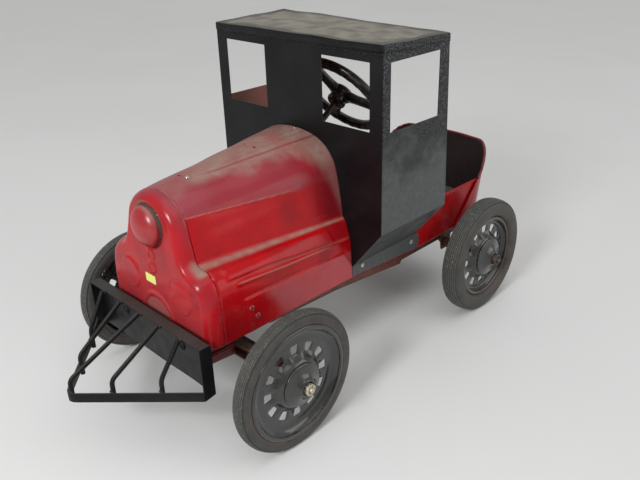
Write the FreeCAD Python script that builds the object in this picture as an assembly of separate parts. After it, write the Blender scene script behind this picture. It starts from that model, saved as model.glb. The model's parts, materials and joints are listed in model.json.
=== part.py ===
import FreeCAD, Part
import math
import os

V = FreeCAD.Vector

# A child's pedal car with a locomotive-style cab and pilot, in millimetres.
# +X is the car's left side, +Y runs rearward, +Z is up and Z = 0 is the floor.
# While it is modelled, Y is measured from the front axle line. EXPORT_SHIFT then
# moves the origin to the middle of the car's length.

# ---- wheels and axles ----
TYRE_R = 127.0
TYRE_HALF = {"front": 14.0, "rear": 21.0}
RIM_LIP_R = {"front": 104.0, "rear": 90.0}
RIM_WEB_R = {"front": 84.0, "rear": 75.0}
RIM_SEAT_DEPTH = 4.6
WHEELBASE = 594.0
FRONT_TRACK = 470.0
REAR_TRACK = 423.0
SHAFT_R = 6.35
RUNNING_GAP = 0.05
FIT_GAP = 0.4  # between body sheet and a part bolted inside it
HUB_R = 11.0
HUB_INNER_REACH = 13.0
HUB_OUTER_REACH = 27.0
AXLE_REACH = 40.0
SLOT_COUNT = 12
SLOT_INNER_R = 55.0
SLOT_OUTER_R = 70.0
SLOT_INNER_HALF = 5.0
SLOT_OUTER_HALF = 7.4

# ---- pressed body ----
SHEET = 1.5
BODY_HALF = 142.0
BODY_BOTTOM = 187.0
NOSE_SEAM_Y = -65.0
NOSE_FRONT_Y = -97.0
TUB_BOTTOM = 173.0
TUB_RIM_Z = 265.0
TUB_SEAM_TOP_Y = 663.0
TUB_SEAM_BOTTOM_Y = 580.0
BACK_RIM_Z = 334.0
BACK_Y = 739.0
RIM_BEAD = 3.0
TUB_BOW_DEPTH = 92.0
TUB_BACK_LEAN = 0.13
TUB_SIDE_LEAN = 0.03

# Half outlines of the hood: arch from the crown to the step, the step, the side.
SEAM_ARCH = [(0, 430), (40, 419), (66, 394), (77, 358), (88, 316)]
SEAM_SIDE = [(114, 313), (129, 301), (139, 275), (142, 238)]
CAB_ARCH = [(0, 460), (59, 450), (96, 421), (112, 376), (123, 318)]
CAB_SIDE = [(127, 314), (132, 297), (139, 270), (142, 238)]
# Rounding of the nose: distance ahead of the seam and how far the outline shrinks.
NOSE_ROUNDING = [(0.0, 0.0), (16.0, 2.0), (27.0, 7.5), (32.0, 16.0)]

# ---- lamp and pressings on the nose ----
LAMP_Z = 372.0
LAMP_R = 41.0
LAMP_DEPTH = 36.0
LAMP_RING = 3.0

# ---- cab ----
CAB_FRONT_Y = 245.5
CAB_REAR_Y = 429.0
CAB_HALF = 215.3
CAB_TOP = 631.0
CAB_LIP = 14.0
CAB_KNEE_Z = 297.0
CAB_FLANGE_TOP = 210.0
CAB_FLANGE_BOTTOM = 182.0
CAB_FLANGE_REAR_Y = 453.0
WINDOW_BOTTOM = 484.0
WINDOW_TOP = 602.5
FRONT_WINDOW_X = (74.0, 185.4)
SIDE_WINDOW_Y = (266.4, 403.1)

# ---- bumper and pilot ----
BUMPER_HALF = 166.0
BUMPER_WEB_Y = -113.0
BUMPER_FLANGE = 20.0
BUMPER_TOP = 222.4
BUMPER_WEB_BOTTOM = 126.5
BUMPER_END_BOTTOM = 123.4
BUMPER_PLATE = 2.5
PILOT_TIP_Y = -285.0
PILOT_BAR_HEIGHT = 17.0
PILOT_BAR_PLATE = 3.2
PILOT_ROD_R = 4.0
PILOT_TOP_X = (-116.0, -58.0, 0.0, 58.0, 116.0)
PILOT_FOOT_X = (-110.0, -51.0, 0.0, 51.0, 110.0)
PILOT_KNEE = 20.0

# ---- chassis ----
BEAM_TOP = 141.0
BEAM_BOTTOM = 114.0
BEAM_HALF_DEPTH = 8.0
RAIL_X = 110.0
RAIL_PLATE = 3.0
FRONT_RAIL_X = 85.0
LEDGE_Z = 191.0

# ---- steering ----
KINGPIN_X = 200.0
KINGPIN_R = 5.0
ARM_LENGTH = 50.0
ARM_Z = (98.0, 102.0)
COLUMN_R = 6.0
COLUMN_SLOPE = math.radians(36.0)
WHEEL_HUB_Y = 374.0
WHEEL_HUB_Z = 494.0
STEER_WHEEL_R = 88.0
STEER_RIM_R = 9.0
SPOKE_TURNS = (10, 130, 250)
STEER_TAB_Z = 185.0
STEER_EYE_R = 14.0
COLUMN_BEARING_Y = (57.0, 249.0)

# ---- pedals and crank ----
PEDAL_Y = 180.0
PEDAL_PIVOT_Z = 285.0
PEDAL_ROD_Z = 148.0
CRANK_THROW = 50.0
DRIVE_X = 86.0
CRANK_PIN_HALF = 15.0
HANGER_ROD_R = 5.0
LEVER_X = (76.0, 79.5)
STRAP = 4.0

# ---- seat ----
SEAT_Z = 218.0
SEAT_FRONT_Y = 500.0
SEAT_BACK_Y = 690.0

AXLE_Z = TYRE_R
EXPORT_SHIFT = V(0, -(PILOT_TIP_Y + BACK_Y) / 2, 0)


# ---------------------------------------------------------------- helpers

def export(name, shape):
    moved = shape.copy()
    moved.translate(EXPORT_SHIFT)
    moved.exportStep("parts/" + name + ".step")


def box(x0, x1, y0, y1, z0, z1):
    return Part.makeBox(x1 - x0, y1 - y0, z1 - z0, V(x0, y0, z0))


def rod(start, end, radius):
    return Part.makeCylinder(radius, (end - start).Length, start, end - start)


def mirrored(shape):
    return shape.mirror(V(0, 0, 0), V(1, 0, 0))


def prism(points, direction):
    wire = Part.makePolygon(points + points[:1])
    return Part.Face(wire).extrude(direction)


def side_prism(outline, x0, x1):
    """Extrude a (y, z) outline from x0 to x1."""
    return prism([V(x0, y, z) for y, z in outline], V(x1 - x0, 0, 0))


def front_prism(outline, y0, y1):
    """Extrude an (x, z) outline from y0 to y1."""
    return prism([V(x, y0, z) for x, z in outline], V(0, y1 - y0, 0))


def plan_prism(outline, z0, z1):
    """Extrude an (x, y) outline from z0 to z1."""
    return prism([V(x, y, z0) for x, y in outline], V(0, 0, z1 - z0))


def union(shapes):
    return shapes[0].multiFuse(shapes[1:]).removeSplitter()


def bent_rod(points, radius, bend):
    """A round rod along straight runs joined by arcs of the given bend radius."""
    edges = []
    start = points[0]
    for before, corner, after in zip(points, points[1:], points[2:]):
        back = (before - corner).normalize()
        ahead = (after - corner).normalize()
        half = back.getAngle(ahead) / 2
        reach = bend / math.tan(half)
        first = corner + back * reach
        last = corner + ahead * reach
        inward = (back + ahead).normalize()
        middle = corner + inward * (bend / math.sin(half) - bend)
        edges.append(Part.makeLine(start, first))
        edges.append(Part.Arc(first, middle, last).toShape())
        start = last
    edges.append(Part.makeLine(start, points[-1]))
    section = Part.Wire(Part.makeCircle(radius, points[0], points[1] - points[0]))
    return Part.Wire(edges).makePipeShell([section], True, False)


def lathe_x(profile, centre_x, outward, y, z):
    """Turn a (radius, offset) profile about an axle parallel to X."""
    points = [V(centre_x + outward * s, y, z + r) for r, s in profile]
    face = Part.Face(Part.makePolygon(points + points[:1]))
    return face.revolve(V(centre_x, y, z), V(1, 0, 0), 360)


# ---------------------------------------------------------------- hood outlines

def moved_inward(points, distance):
    """Move a half outline inward, square to its local direction."""
    moved = []
    for i, (x, z) in enumerate(points):
        before = points[max(i - 1, 0)]
        after = points[min(i + 1, len(points) - 1)]
        dx, dz = after[0] - before[0], after[1] - before[1]
        length = math.hypot(dx, dz)
        nx, nz = dz / length, -dx / length
        if i == 0:
            nx, nz = 0.0, -1.0
        moved.append((x + distance * nx, z + distance * nz))
    return moved


def hood_wire(arch, side, y, inset, bottom):
    """Closed outline of the hood at one station, open at its foot when it is cut."""
    half = moved_inward(arch + side, inset)
    arch = half[:len(arch)]
    side = half[len(arch):]
    foot_x = side[-1][0]
    crown = [(-x, z) for x, z in reversed(arch)] + arch[1:]
    right = [(-x, z) for x, z in reversed(side)]

    def spline(points):
        curve = Part.BSplineCurve()
        curve.interpolate([V(x, y, z) for x, z in points])
        return curve.toShape()

    def line(a, b):
        return Part.makeLine(V(a[0], y, a[1]), V(b[0], y, b[1]))

    return Part.Wire([
        line((-foot_x, bottom), right[0]),
        spline(right),
        line(right[-1], crown[0]),
        spline(crown),
        line(crown[-1], side[0]),
        spline(side),
        line(side[-1], (foot_x, bottom)),
        line((foot_x, bottom), (-foot_x, bottom)),
    ])


def hood_core(inset, bottom, front_y, rear_y):
    """Solid that fills the hood between two stations of its straight taper."""
    wires = []
    for y in (front_y, rear_y):
        t = (y - NOSE_SEAM_Y) / (CAB_FRONT_Y - NOSE_SEAM_Y)
        arch = blended(SEAM_ARCH, CAB_ARCH, t)
        side = blended(SEAM_SIDE, CAB_SIDE, t)
        wires.append(hood_wire(arch, side, y, inset, bottom))
    return Part.makeLoft(wires, True, True)


def blended(first, last, t):
    return [
        (a[0] + (b[0] - a[0]) * t, a[1] + (b[1] - a[1]) * t)
        for a, b in zip(first, last)
    ]


def nose_core(inset, bottom, rear_reach):
    """Solid that fills the rounded nose; its inside reaches past the seam."""
    stations = [(-rear_reach, 0.0)] if rear_reach else []
    stations += NOSE_ROUNDING
    wires = []
    for ahead, shrink in stations:
        y = NOSE_SEAM_Y - ahead
        if inset and ahead == NOSE_ROUNDING[-1][0]:
            y += inset
        wires.append(hood_wire(SEAM_ARCH, SEAM_SIDE, y, shrink + inset, bottom))
    return Part.makeLoft(wires, True, True)


# ---------------------------------------------------------------- pressed body

def hood_shell():
    outer = hood_core(0.0, BODY_BOTTOM, NOSE_SEAM_Y, CAB_FRONT_Y)
    inner = hood_core(SHEET, BODY_BOTTOM - 20, NOSE_SEAM_Y - 5, CAB_FRONT_Y + 5)
    return outer.cut(inner)


def nose_shell():
    outer = nose_core(0.0, BODY_BOTTOM, 0.0)
    shell = outer.cut(nose_core(SHEET, BODY_BOTTOM - 20, 5.0))
    face = NOSE_FRONT_Y + 0.5
    discs = []
    for x, z, radius, height in (
        (74, 262, 30, 3.0),
        (-74, 262, 30, 3.0),
        (0, 298, 13, 2.0),
        (0, 321, 13, 2.0),
    ):
        discs.append(rod(V(x, face, z), V(x, face - height, z), radius))
    arch = rod(V(0, face, 203), V(0, face - 2.0, 203), 48)
    arch = arch.cut(rod(V(0, face + 1, 203), V(0, face - 4, 203), 41))
    arch = arch.cut(box(-60, 60, face - 10, face + 10, 150, 203))
    return union([shell] + discs + [arch])


def headlight_dome():
    ball_r = (LAMP_R ** 2 + LAMP_DEPTH ** 2) / (2 * LAMP_DEPTH)
    centre_y = NOSE_FRONT_Y - LAMP_DEPTH + ball_r
    keep = box(-60, 60, NOSE_FRONT_Y - 60, NOSE_FRONT_Y, LAMP_Z - 60, LAMP_Z + 60)
    dome = Part.makeSphere(ball_r, V(0, centre_y, LAMP_Z)).common(keep)
    hollow = Part.makeSphere(ball_r - SHEET, V(0, centre_y, LAMP_Z))
    ring = rod(
        V(0, NOSE_FRONT_Y, LAMP_Z),
        V(0, NOSE_FRONT_Y - SHEET, LAMP_Z),
        LAMP_R + LAMP_RING,
    )
    return union([dome, ring]).cut(hollow)


def tub_side(side):
    outline = [
        (CAB_FRONT_Y + SHEET, BODY_BOTTOM),
        (CAB_FLANGE_REAR_Y, TUB_BOTTOM),
        (TUB_SEAM_BOTTOM_Y, TUB_BOTTOM),
        (TUB_SEAM_TOP_Y, TUB_RIM_Z),
        (CAB_FRONT_Y + SHEET, TUB_RIM_Z),
    ]
    panel = side_prism(outline, BODY_HALF - SHEET, BODY_HALF)
    bead = rod(
        V(BODY_HALF - SHEET, CAB_FRONT_Y + SHEET, TUB_RIM_Z),
        V(BODY_HALF - SHEET, TUB_SEAM_TOP_Y, TUB_RIM_Z),
        RIM_BEAD,
    )
    panel = union([panel, bead])
    return panel if side > 0 else mirrored(panel)


def tub_plan(half, corner_y, back_y, z):
    """D-shaped outline of the tub's back: straight flanks and a squarish bow."""
    power = 2 / 3.2
    points = []
    for i in range(25):
        angle = math.pi * i / 24
        c, s = math.cos(angle), math.sin(angle)
        x = half * math.copysign(abs(c) ** power, c)
        y = corner_y + (back_y - corner_y) * abs(s) ** power
        points.append(V(x, y, z))
    curve = Part.BSplineCurve()
    curve.interpolate(points)
    front_y = TUB_SEAM_BOTTOM_Y - 30
    left = V(half, front_y, z)
    right = V(-half, front_y, z)
    return Part.Wire([
        Part.makeLine(left, points[0]),
        curve.toShape(),
        Part.makeLine(points[-1], right),
        Part.makeLine(right, left),
    ])


def tub_bow(grow):
    """Solid inside the flared bow of the tub, grown outward by a distance."""
    low, high = TUB_BOTTOM - 20, BACK_RIM_Z + 20
    wires = []
    for z in (low, high):
        rim_back = BACK_Y - RIM_BEAD - SHEET
        back = rim_back - (BACK_RIM_Z - z) * TUB_BACK_LEAN + grow
        half = BODY_HALF + (z - low) * TUB_SIDE_LEAN + grow
        wires.append(tub_plan(half, back - TUB_BOW_DEPTH, back, z))
    return Part.makeLoft(wires, True, True)


def back_panel():
    rim = [
        (TUB_SEAM_TOP_Y, TUB_RIM_Z + 3),
        (TUB_SEAM_TOP_Y + 12, TUB_RIM_Z + 14),
        (BACK_Y - 22, BACK_RIM_Z - 12),
        (BACK_Y - 4, BACK_RIM_Z),
        (BACK_Y + 20, BACK_RIM_Z),
    ]
    region = [(TUB_SEAM_BOTTOM_Y, TUB_BOTTOM)] + rim + [(BACK_Y + 20, TUB_BOTTOM)]
    wall = tub_bow(SHEET).cut(tub_bow(0.0))
    panel = wall.common(side_prism(region, -200, 200))
    band = rim + [(y, z - 2 * RIM_BEAD) for y, z in reversed(rim)]
    bead = tub_bow(SHEET + RIM_BEAD).cut(tub_bow(0.0))
    bead = bead.common(side_prism(band, -200, 200))
    return union([panel, bead])


def seat_pan():
    half = BODY_HALF - SHEET - FIT_GAP
    outline = [
        (half, SEAT_FRONT_Y),
        (half, SEAT_BACK_Y - 50),
        (half - 22, SEAT_BACK_Y),
        (22 - half, SEAT_BACK_Y),
        (-half, SEAT_BACK_Y - 50),
        (-half, SEAT_FRONT_Y),
    ]
    top = plan_prism(outline, SEAT_Z - 2, SEAT_Z)
    lip = box(-half, half, SEAT_FRONT_Y, SEAT_FRONT_Y + 2, SEAT_Z - 16, SEAT_Z)
    flank = box(half - 2, half, SEAT_FRONT_Y, SEAT_BACK_Y - 50, SEAT_Z - 16, SEAT_Z)
    return union([top, lip, flank, mirrored(flank)])


# ---------------------------------------------------------------- cab

def cab_front_panel():
    outer = [
        (-CAB_HALF + SHEET, CAB_TOP - SHEET),
        (CAB_HALF - SHEET, CAB_TOP - SHEET),
        (CAB_HALF - SHEET, CAB_KNEE_Z),
        (BODY_HALF + SHEET, CAB_FLANGE_TOP),
        (-BODY_HALF - SHEET, CAB_FLANGE_TOP),
        (-CAB_HALF + SHEET, CAB_KNEE_Z),
    ]
    panel = front_prism(outer, CAB_FRONT_Y, CAB_FRONT_Y + SHEET)
    x0, x1 = FRONT_WINDOW_X
    window = box(x0, x1, 200, 300, WINDOW_BOTTOM, WINDOW_TOP)
    wire = hood_wire(CAB_ARCH, CAB_SIDE, CAB_FRONT_Y - 5, SHEET, BODY_BOTTOM - 20)
    legroom = Part.Face(wire).extrude(V(0, 20, 0))
    return panel.cut(window).cut(mirrored(window)).cut(legroom)


def cab_side(side):
    """Side wall, the strip that slopes in to the body, and its screwed flange."""
    wall_x = CAB_HALF - SHEET
    drop = 0.9 * SHEET
    outline = [
        (wall_x, CAB_TOP - SHEET),
        (wall_x, CAB_KNEE_Z),
        (BODY_HALF + SHEET, CAB_FLANGE_TOP),
        (BODY_HALF + SHEET, CAB_FLANGE_BOTTOM),
        (BODY_HALF, CAB_FLANGE_BOTTOM),
        (BODY_HALF, CAB_FLANGE_TOP + drop),
        (wall_x - SHEET, CAB_KNEE_Z + drop),
        (wall_x - SHEET, CAB_TOP - SHEET),
    ]
    start = CAB_FRONT_Y + SHEET
    wall = front_prism(outline, start, CAB_REAR_Y)
    y0, y1 = SIDE_WINDOW_Y
    wall = wall.cut(box(150, 250, y0, y1, WINDOW_BOTTOM, WINDOW_TOP))
    tail = [
        (start, CAB_FLANGE_TOP),
        (start, BODY_BOTTOM + 2),
        (CAB_FLANGE_REAR_Y, CAB_FLANGE_BOTTOM - 7),
        (CAB_FLANGE_REAR_Y, CAB_FLANGE_TOP - 6),
        (CAB_REAR_Y, CAB_FLANGE_TOP),
    ]
    flange = side_prism(tail, BODY_HALF, BODY_HALF + SHEET)
    trim = [(start - 1, 150), (start - 1, BODY_BOTTOM + 2)]
    trim += [(CAB_FLANGE_REAR_Y, CAB_FLANGE_BOTTOM - 7), (CAB_FLANGE_REAR_Y, 150)]
    panel = union([wall, flange]).cut(side_prism(trim, 130, 160))
    return panel if side > 0 else mirrored(panel)


def cab_roof():
    outer = box(
        -CAB_HALF, CAB_HALF,
        CAB_FRONT_Y - SHEET, CAB_REAR_Y + SHEET,
        CAB_TOP - CAB_LIP, CAB_TOP,
    )
    inner = box(
        -CAB_HALF + SHEET, CAB_HALF - SHEET,
        CAB_FRONT_Y, CAB_REAR_Y,
        CAB_TOP - CAB_LIP - 1, CAB_TOP - SHEET,
    )
    return outer.cut(inner)


# ---------------------------------------------------------------- bumper and pilot

def bumper_plate():
    front = BUMPER_WEB_Y - BUMPER_FLANGE
    back = BUMPER_WEB_Y + BUMPER_PLATE
    half = BUMPER_HALF
    web = box(-half, half, BUMPER_WEB_Y, back, BUMPER_WEB_BOTTOM, BUMPER_TOP)
    top = box(-half, half, front, back, BUMPER_TOP - BUMPER_PLATE, BUMPER_TOP)
    end = box(half - BUMPER_PLATE, half, front, back, BUMPER_END_BOTTOM, BUMPER_TOP)
    return union([web, top, end, mirrored(end)])


def pilot_edge(x, inset=0.0):
    """Y of the pilot bar's outer face at x, or of a line set in behind it."""
    front = BUMPER_WEB_Y - BUMPER_FLANGE
    slope = (front - PILOT_TIP_Y) / BUMPER_HALF
    return PILOT_TIP_Y + slope * abs(x) + inset * math.hypot(1, slope)


def pilot_bar():
    front = BUMPER_WEB_Y - BUMPER_FLANGE
    inner_half = BUMPER_HALF - PILOT_BAR_PLATE
    tip = pilot_edge(0, PILOT_BAR_PLATE)
    outline = [
        (BUMPER_HALF, front),
        (0, PILOT_TIP_Y),
        (-BUMPER_HALF, front),
        (-inner_half, front),
        (0, tip),
        (inner_half, front),
    ]
    return plan_prism(outline, BUMPER_END_BOTTOM, BUMPER_END_BOTTOM + PILOT_BAR_HEIGHT)


def pilot_rods():
    rods = []
    top_y = BUMPER_WEB_Y - BUMPER_FLANGE - PILOT_ROD_R
    gap = PILOT_BAR_PLATE + PILOT_ROD_R + 0.1
    for top_x, foot_x in zip(PILOT_TOP_X, PILOT_FOOT_X):
        foot_y = pilot_edge(foot_x, gap)
        if foot_x == 0:
            foot_y += 1.0
        knee = BUMPER_END_BOTTOM + PILOT_BAR_HEIGHT + PILOT_KNEE
        points = [
            V(top_x, top_y, BUMPER_TOP),
            V(foot_x, foot_y, knee),
            V(foot_x, foot_y, BUMPER_END_BOTTOM + 1),
        ]
        rods.append(bent_rod(points, PILOT_ROD_R, 10.0))
    return rods


def bumper_bolts():
    """Round-headed bolts through the bumper's web."""
    bolts = []
    for x in (-FRONT_RAIL_X, FRONT_RAIL_X):
        ball = Part.makeSphere(9.0, V(x, BUMPER_WEB_Y + 4.5, 185))
        keep = box(x - 10, x + 10, BUMPER_WEB_Y - 10, BUMPER_WEB_Y, 170, 200)
        bolts.append(ball.common(keep))
    return Part.makeCompound(bolts)


# ---------------------------------------------------------------- chassis

def front_rail(side):
    rail = box(
        FRONT_RAIL_X, FRONT_RAIL_X + RAIL_PLATE,
        BUMPER_WEB_Y + BUMPER_PLATE, -BEAM_HALF_DEPTH,
        BEAM_BOTTOM, BEAM_TOP,
    )
    return rail if side > 0 else mirrored(rail)


def front_axle_beam():
    """Channel open to the front, with a kingpin sleeve welded on each end."""
    depth = BEAM_HALF_DEPTH
    half = KINGPIN_X - 6
    channel = box(-half, half, -depth, depth, BEAM_BOTTOM, BEAM_TOP)
    groove = box(-300, 300, -depth - 1, depth - 3, BEAM_BOTTOM + 3, BEAM_TOP - 3)
    channel = channel.cut(groove)
    solids = [channel]
    bores = []
    for x in (-KINGPIN_X, KINGPIN_X):
        low, high = V(x, 0, ARM_Z[1] + 0.3), V(x, 0, BEAM_TOP)
        solids.append(rod(low, high, 9.0))
        inner, outer = sorted((math.copysign(half - 12, x), math.copysign(half + 1, x)))
        solids.append(box(inner, outer, -3, depth, BEAM_BOTTOM, BEAM_TOP))
        bores.append(rod(low - V(0, 0, 5), high + V(0, 0, 5), KINGPIN_R + RUNNING_GAP))
    beam = union(solids)
    for bore in bores:
        beam = beam.cut(bore)
    return beam


def kingpins():
    pins = []
    for x in (-KINGPIN_X, KINGPIN_X):
        pin = rod(V(x, 0, ARM_Z[0] - 6), V(x, 0, BEAM_TOP + 6), KINGPIN_R)
        head = rod(V(x, 0, BEAM_TOP + 5), V(x, 0, BEAM_TOP + 10), 8.0)
        foot = rod(V(x, 0, ARM_Z[0] - 6), V(x, 0, ARM_Z[0] - 3), 7.5)
        pins.append(union([pin, head, foot]))
    return Part.makeCompound(pins)


def axle_bracket(side):
    """Bent strap from the top of the beam out to the two bolts in the body side."""
    inner, t = FRONT_RAIL_X, 3.0
    wall = BODY_HALF - SHEET - FIT_GAP
    outline = [
        (inner - 24, BEAM_TOP),
        (inner, BEAM_TOP),
        (inner, 194),
        (wall, 194),
        (wall, 236),
        (wall - t, 236),
        (wall - t, 194 + t),
        (inner - t, 194 + t),
        (inner - t, BEAM_TOP + t),
        (inner - 24, BEAM_TOP + t),
    ]
    bracket = front_prism(outline, -12, 18)
    return bracket if side > 0 else mirrored(bracket)


def chassis_rail(side):
    """Side rail under the body: a deep web and a ledge turned out to the body."""
    web = [
        (30, LEDGE_Z),
        (30, 172),
        (60, 160),
        (234, 153),
        (431, 133),
        (437, 140),
        (635, 140),
        (650, 160),
        (650, LEDGE_Z),
    ]
    rail = side_prism(web, RAIL_X, RAIL_X + RAIL_PLATE)
    ledge = box(RAIL_X, BODY_HALF - SHEET - FIT_GAP, 30, 640, LEDGE_Z - 3, LEDGE_Z)
    rail = union([rail, ledge])
    return rail if side > 0 else mirrored(rail)


def axle_hanger(side):
    """Plate on the rail's outer face that carries the rear axle in a bush."""
    x = RAIL_X + RAIL_PLATE
    outline = [
        (WHEELBASE - 26, LEDGE_Z - 3.2),
        (WHEELBASE - 14, AXLE_Z - 14),
        (WHEELBASE + 14, AXLE_Z - 14),
        (WHEELBASE + 26, LEDGE_Z - 3.2),
    ]
    plate = side_prism(outline, x, x + 4)
    bush = rod(V(x, WHEELBASE, AXLE_Z), V(x + 14, WHEELBASE, AXLE_Z), 11.0)
    bore_r = SHAFT_R + RUNNING_GAP
    bore = rod(V(x - 5, WHEELBASE, AXLE_Z), V(x + 20, WHEELBASE, AXLE_Z), bore_r)
    hanger = union([plate, bush]).cut(bore)
    return hanger if side > 0 else mirrored(hanger)


def hanger_posts():
    """Two straps that stand on the rails and hold the pedal pivot rod."""
    x = RAIL_X
    y = PEDAL_Y
    post = box(x - 3, x, y - 11, y + 11, 160, PEDAL_PIVOT_Z + 12)
    return Part.makeCompound([post, mirrored(post)])


def pedal_pivot_rod():
    reach = RAIL_X - 3
    return rod(
        V(-reach, PEDAL_Y, PEDAL_PIVOT_Z),
        V(reach, PEDAL_Y, PEDAL_PIVOT_Z),
        HANGER_ROD_R,
    )


# ---------------------------------------------------------------- steering

def column_point(y):
    """Point of the steering column's axis at a given y."""
    drop = (WHEEL_HUB_Y - y) * math.tan(COLUMN_SLOPE)
    return V(0, y, WHEEL_HUB_Z - drop)


def column_direction():
    return V(0, -math.cos(COLUMN_SLOPE), -math.sin(COLUMN_SLOPE))


def column_corner():
    """Foot of the column, where it turns square down to the tie rod's eye."""
    eye = V(0, ARM_LENGTH, STEER_TAB_Z)
    hub = V(0, WHEEL_HUB_Y, WHEEL_HUB_Z)
    along = (eye - hub).dot(column_direction())
    return hub + column_direction() * along


def steering_column():
    hub = V(0, WHEEL_HUB_Y, WHEEL_HUB_Z)
    corner = column_corner()
    eye = V(0, ARM_LENGTH, STEER_TAB_Z)
    tip = eye + (eye - corner).normalize() * 10.0
    top = hub - column_direction() * 8.0
    return bent_rod([top, corner, tip], COLUMN_R, 12.0)


def bearing(y, strap):
    """A strap with a bush on it, bored through along the column's axis."""
    centre = column_point(y)
    along = column_direction() * 13.0
    bush = rod(centre - along, centre + along, 11.0)
    bore_r = COLUMN_R + RUNNING_GAP
    bore = rod(centre - along * 3, centre + along * 3, bore_r)
    return union([strap, bush]).cut(bore)


def steering_cross_member():
    y = COLUMN_BEARING_Y[0]
    z = column_point(y).z
    strap = box(-133, 133, y - 1.5, y + 1.5, z - 20, z + 10)
    return bearing(y, strap)


def dash_strap():
    y = COLUMN_BEARING_Y[1]
    z = column_point(y).z
    strap = box(-150, 150, CAB_FRONT_Y + SHEET, CAB_FRONT_Y + SHEET + 3, z - 14, z + 14)
    return bearing(y, strap)


def steering_wheel():
    """Rim, three spokes and hub, modelled flat and tilted square to the column."""
    flat = [Part.makeTorus(STEER_WHEEL_R, STEER_RIM_R)]
    flat.append(Part.makeCylinder(17.0, 26.0, V(0, 0, -18)))
    for turn in SPOKE_TURNS:
        spoke = Part.makeBox(STEER_WHEEL_R - 12, 13.0, 6.0, V(8, -6.5, -3))
        spoke.rotate(V(0, 0, 0), V(0, 0, 1), turn)
        flat.append(spoke)
    wheel = union(flat)
    bore = Part.makeCylinder(COLUMN_R + RUNNING_GAP, 60, V(0, 0, -30))
    wheel = wheel.cut(bore)
    tilt = 90 - math.degrees(COLUMN_SLOPE)
    wheel.rotate(V(0, 0, 0), V(1, 0, 0), -tilt)
    wheel.translate(V(0, WHEEL_HUB_Y, WHEEL_HUB_Z))
    return wheel


def steering_nut():
    """Flat nut that holds the steering wheel on the top of the column."""
    hub = V(0, WHEEL_HUB_Y, WHEEL_HUB_Z)
    up = column_direction() * -1
    return rod(hub + up * 8.1, hub + up * 14, 9.0)


def tie_rod():
    """Bar between the knuckle arms, with a raised tab that the column's foot turns."""
    y, high = ARM_LENGTH, ARM_Z[0] - 0.4
    low = high - 4
    tab_low, tab_high = STEER_TAB_Z - 2, STEER_TAB_Z + 2
    ring_r = STEER_EYE_R + 6
    riser_y = y + ring_r + 2
    pieces = [
        box(-KINGPIN_X, KINGPIN_X, y - 8, y + 8, low, high),
        box(-12, 12, y, riser_y + 3, low, high),
        box(-12, 12, riser_y, riser_y + 3, low, tab_high),
        box(-12, 12, y + STEER_EYE_R, riser_y + 3, tab_low, tab_high),
        rod(V(0, y, tab_low), V(0, y, tab_high), ring_r),
    ]
    for x in (-KINGPIN_X, KINGPIN_X):
        pieces.append(rod(V(x, y, low), V(x, y, high), 8.0))
        pieces.append(rod(V(x, y, low - 3), V(x, y, ARM_Z[1] + 6), 4.0))
        pieces.append(rod(V(x, y, low - 3), V(x, y, low), 7.0))
    bar = union(pieces)
    return bar.cut(rod(V(0, y, tab_low - 5), V(0, y, tab_high + 5), STEER_EYE_R))


def knuckle(side):
    """Stub axle with the yoke round the kingpin and the steering arm to the rear."""
    arm_low, arm_high = ARM_Z
    x, y = KINGPIN_X, ARM_LENGTH
    top_low, top_high = BEAM_TOP + 0.3, BEAM_TOP + 4.7
    plate_x = x + 11
    solids = [
        box(plate_x, plate_x + 4, -10, 10, arm_low, top_high),
        box(x, plate_x + 4, -10, 10, top_low, top_high),
        rod(V(x, 0, top_low), V(x, 0, top_high), 10.0),
        box(x, plate_x + 4, -10, 10, arm_low, arm_high),
        rod(V(x, 0, arm_low), V(x, 0, arm_high), 10.0),
        box(x - 8, x + 8, 0, y, arm_low, arm_high),
        rod(V(x, y, arm_low), V(x, y, arm_high), 8.0),
        spindle(FRONT_TRACK / 2, plate_x + 4),
    ]
    shape = union(solids)
    pin_r = KINGPIN_R + RUNNING_GAP
    shape = shape.cut(rod(V(x, 0, arm_low - 5), V(x, 0, top_high + 5), pin_r))
    end_r = 4.0 + RUNNING_GAP
    shape = shape.cut(rod(V(x, y, arm_low - 5), V(x, y, arm_high + 5), end_r))
    return shape if side > 0 else mirrored(shape)


def spindle(plane_x, from_x):
    shoulder_x = plane_x - HUB_INNER_REACH - 0.4
    shaft = rod(V(from_x, 0, AXLE_Z), V(plane_x + AXLE_REACH, 0, AXLE_Z), SHAFT_R)
    collar = rod(V(from_x, 0, AXLE_Z), V(shoulder_x, 0, AXLE_Z), 10.0)
    return union([shaft, collar])


def axle_end(plane_x, y):
    """Washer and split pin outboard of a wheel's hub."""
    start = plane_x + HUB_OUTER_REACH + 0.4
    washer = rod(V(start, y, AXLE_Z), V(start + 2, y, AXLE_Z), 10.5)
    hole = rod(V(start - 1, y, AXLE_Z), V(start + 10, y, AXLE_Z), SHAFT_R + RUNNING_GAP)
    collar = rod(V(start + 2, y, AXLE_Z), V(start + 8, y, AXLE_Z), 9.0)
    return union([washer, collar]).cut(hole)


# ---------------------------------------------------------------- wheels

def tyre(end, plane_x, side, y):
    """Solid rubber tyre with rounded shoulders and a foot that sits in the rim."""
    half = TYRE_HALF[end]
    foot = 10.8
    seat = RIM_LIP_R[end] - RIM_SEAT_DEPTH
    lip = RIM_LIP_R[end] + 0.4
    wall = foot + 0.85 * (half - foot)
    round_off = half / TYRE_HALF["front"]
    outer_half = [
        (TYRE_R, half - 11 * round_off),
        (TYRE_R - 1 * round_off, half - 6.5 * round_off),
        (TYRE_R - 4 * round_off, half - 2.5 * round_off),
        (TYRE_R - 11 * round_off, half),
        (lip + 1, wall),
        (lip, foot),
        (seat, foot),
    ]
    inner_half = [(r, -x) for r, x in reversed(outer_half)]
    return lathe_x(inner_half + outer_half, side * plane_x, side, y, AXLE_Z)


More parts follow.
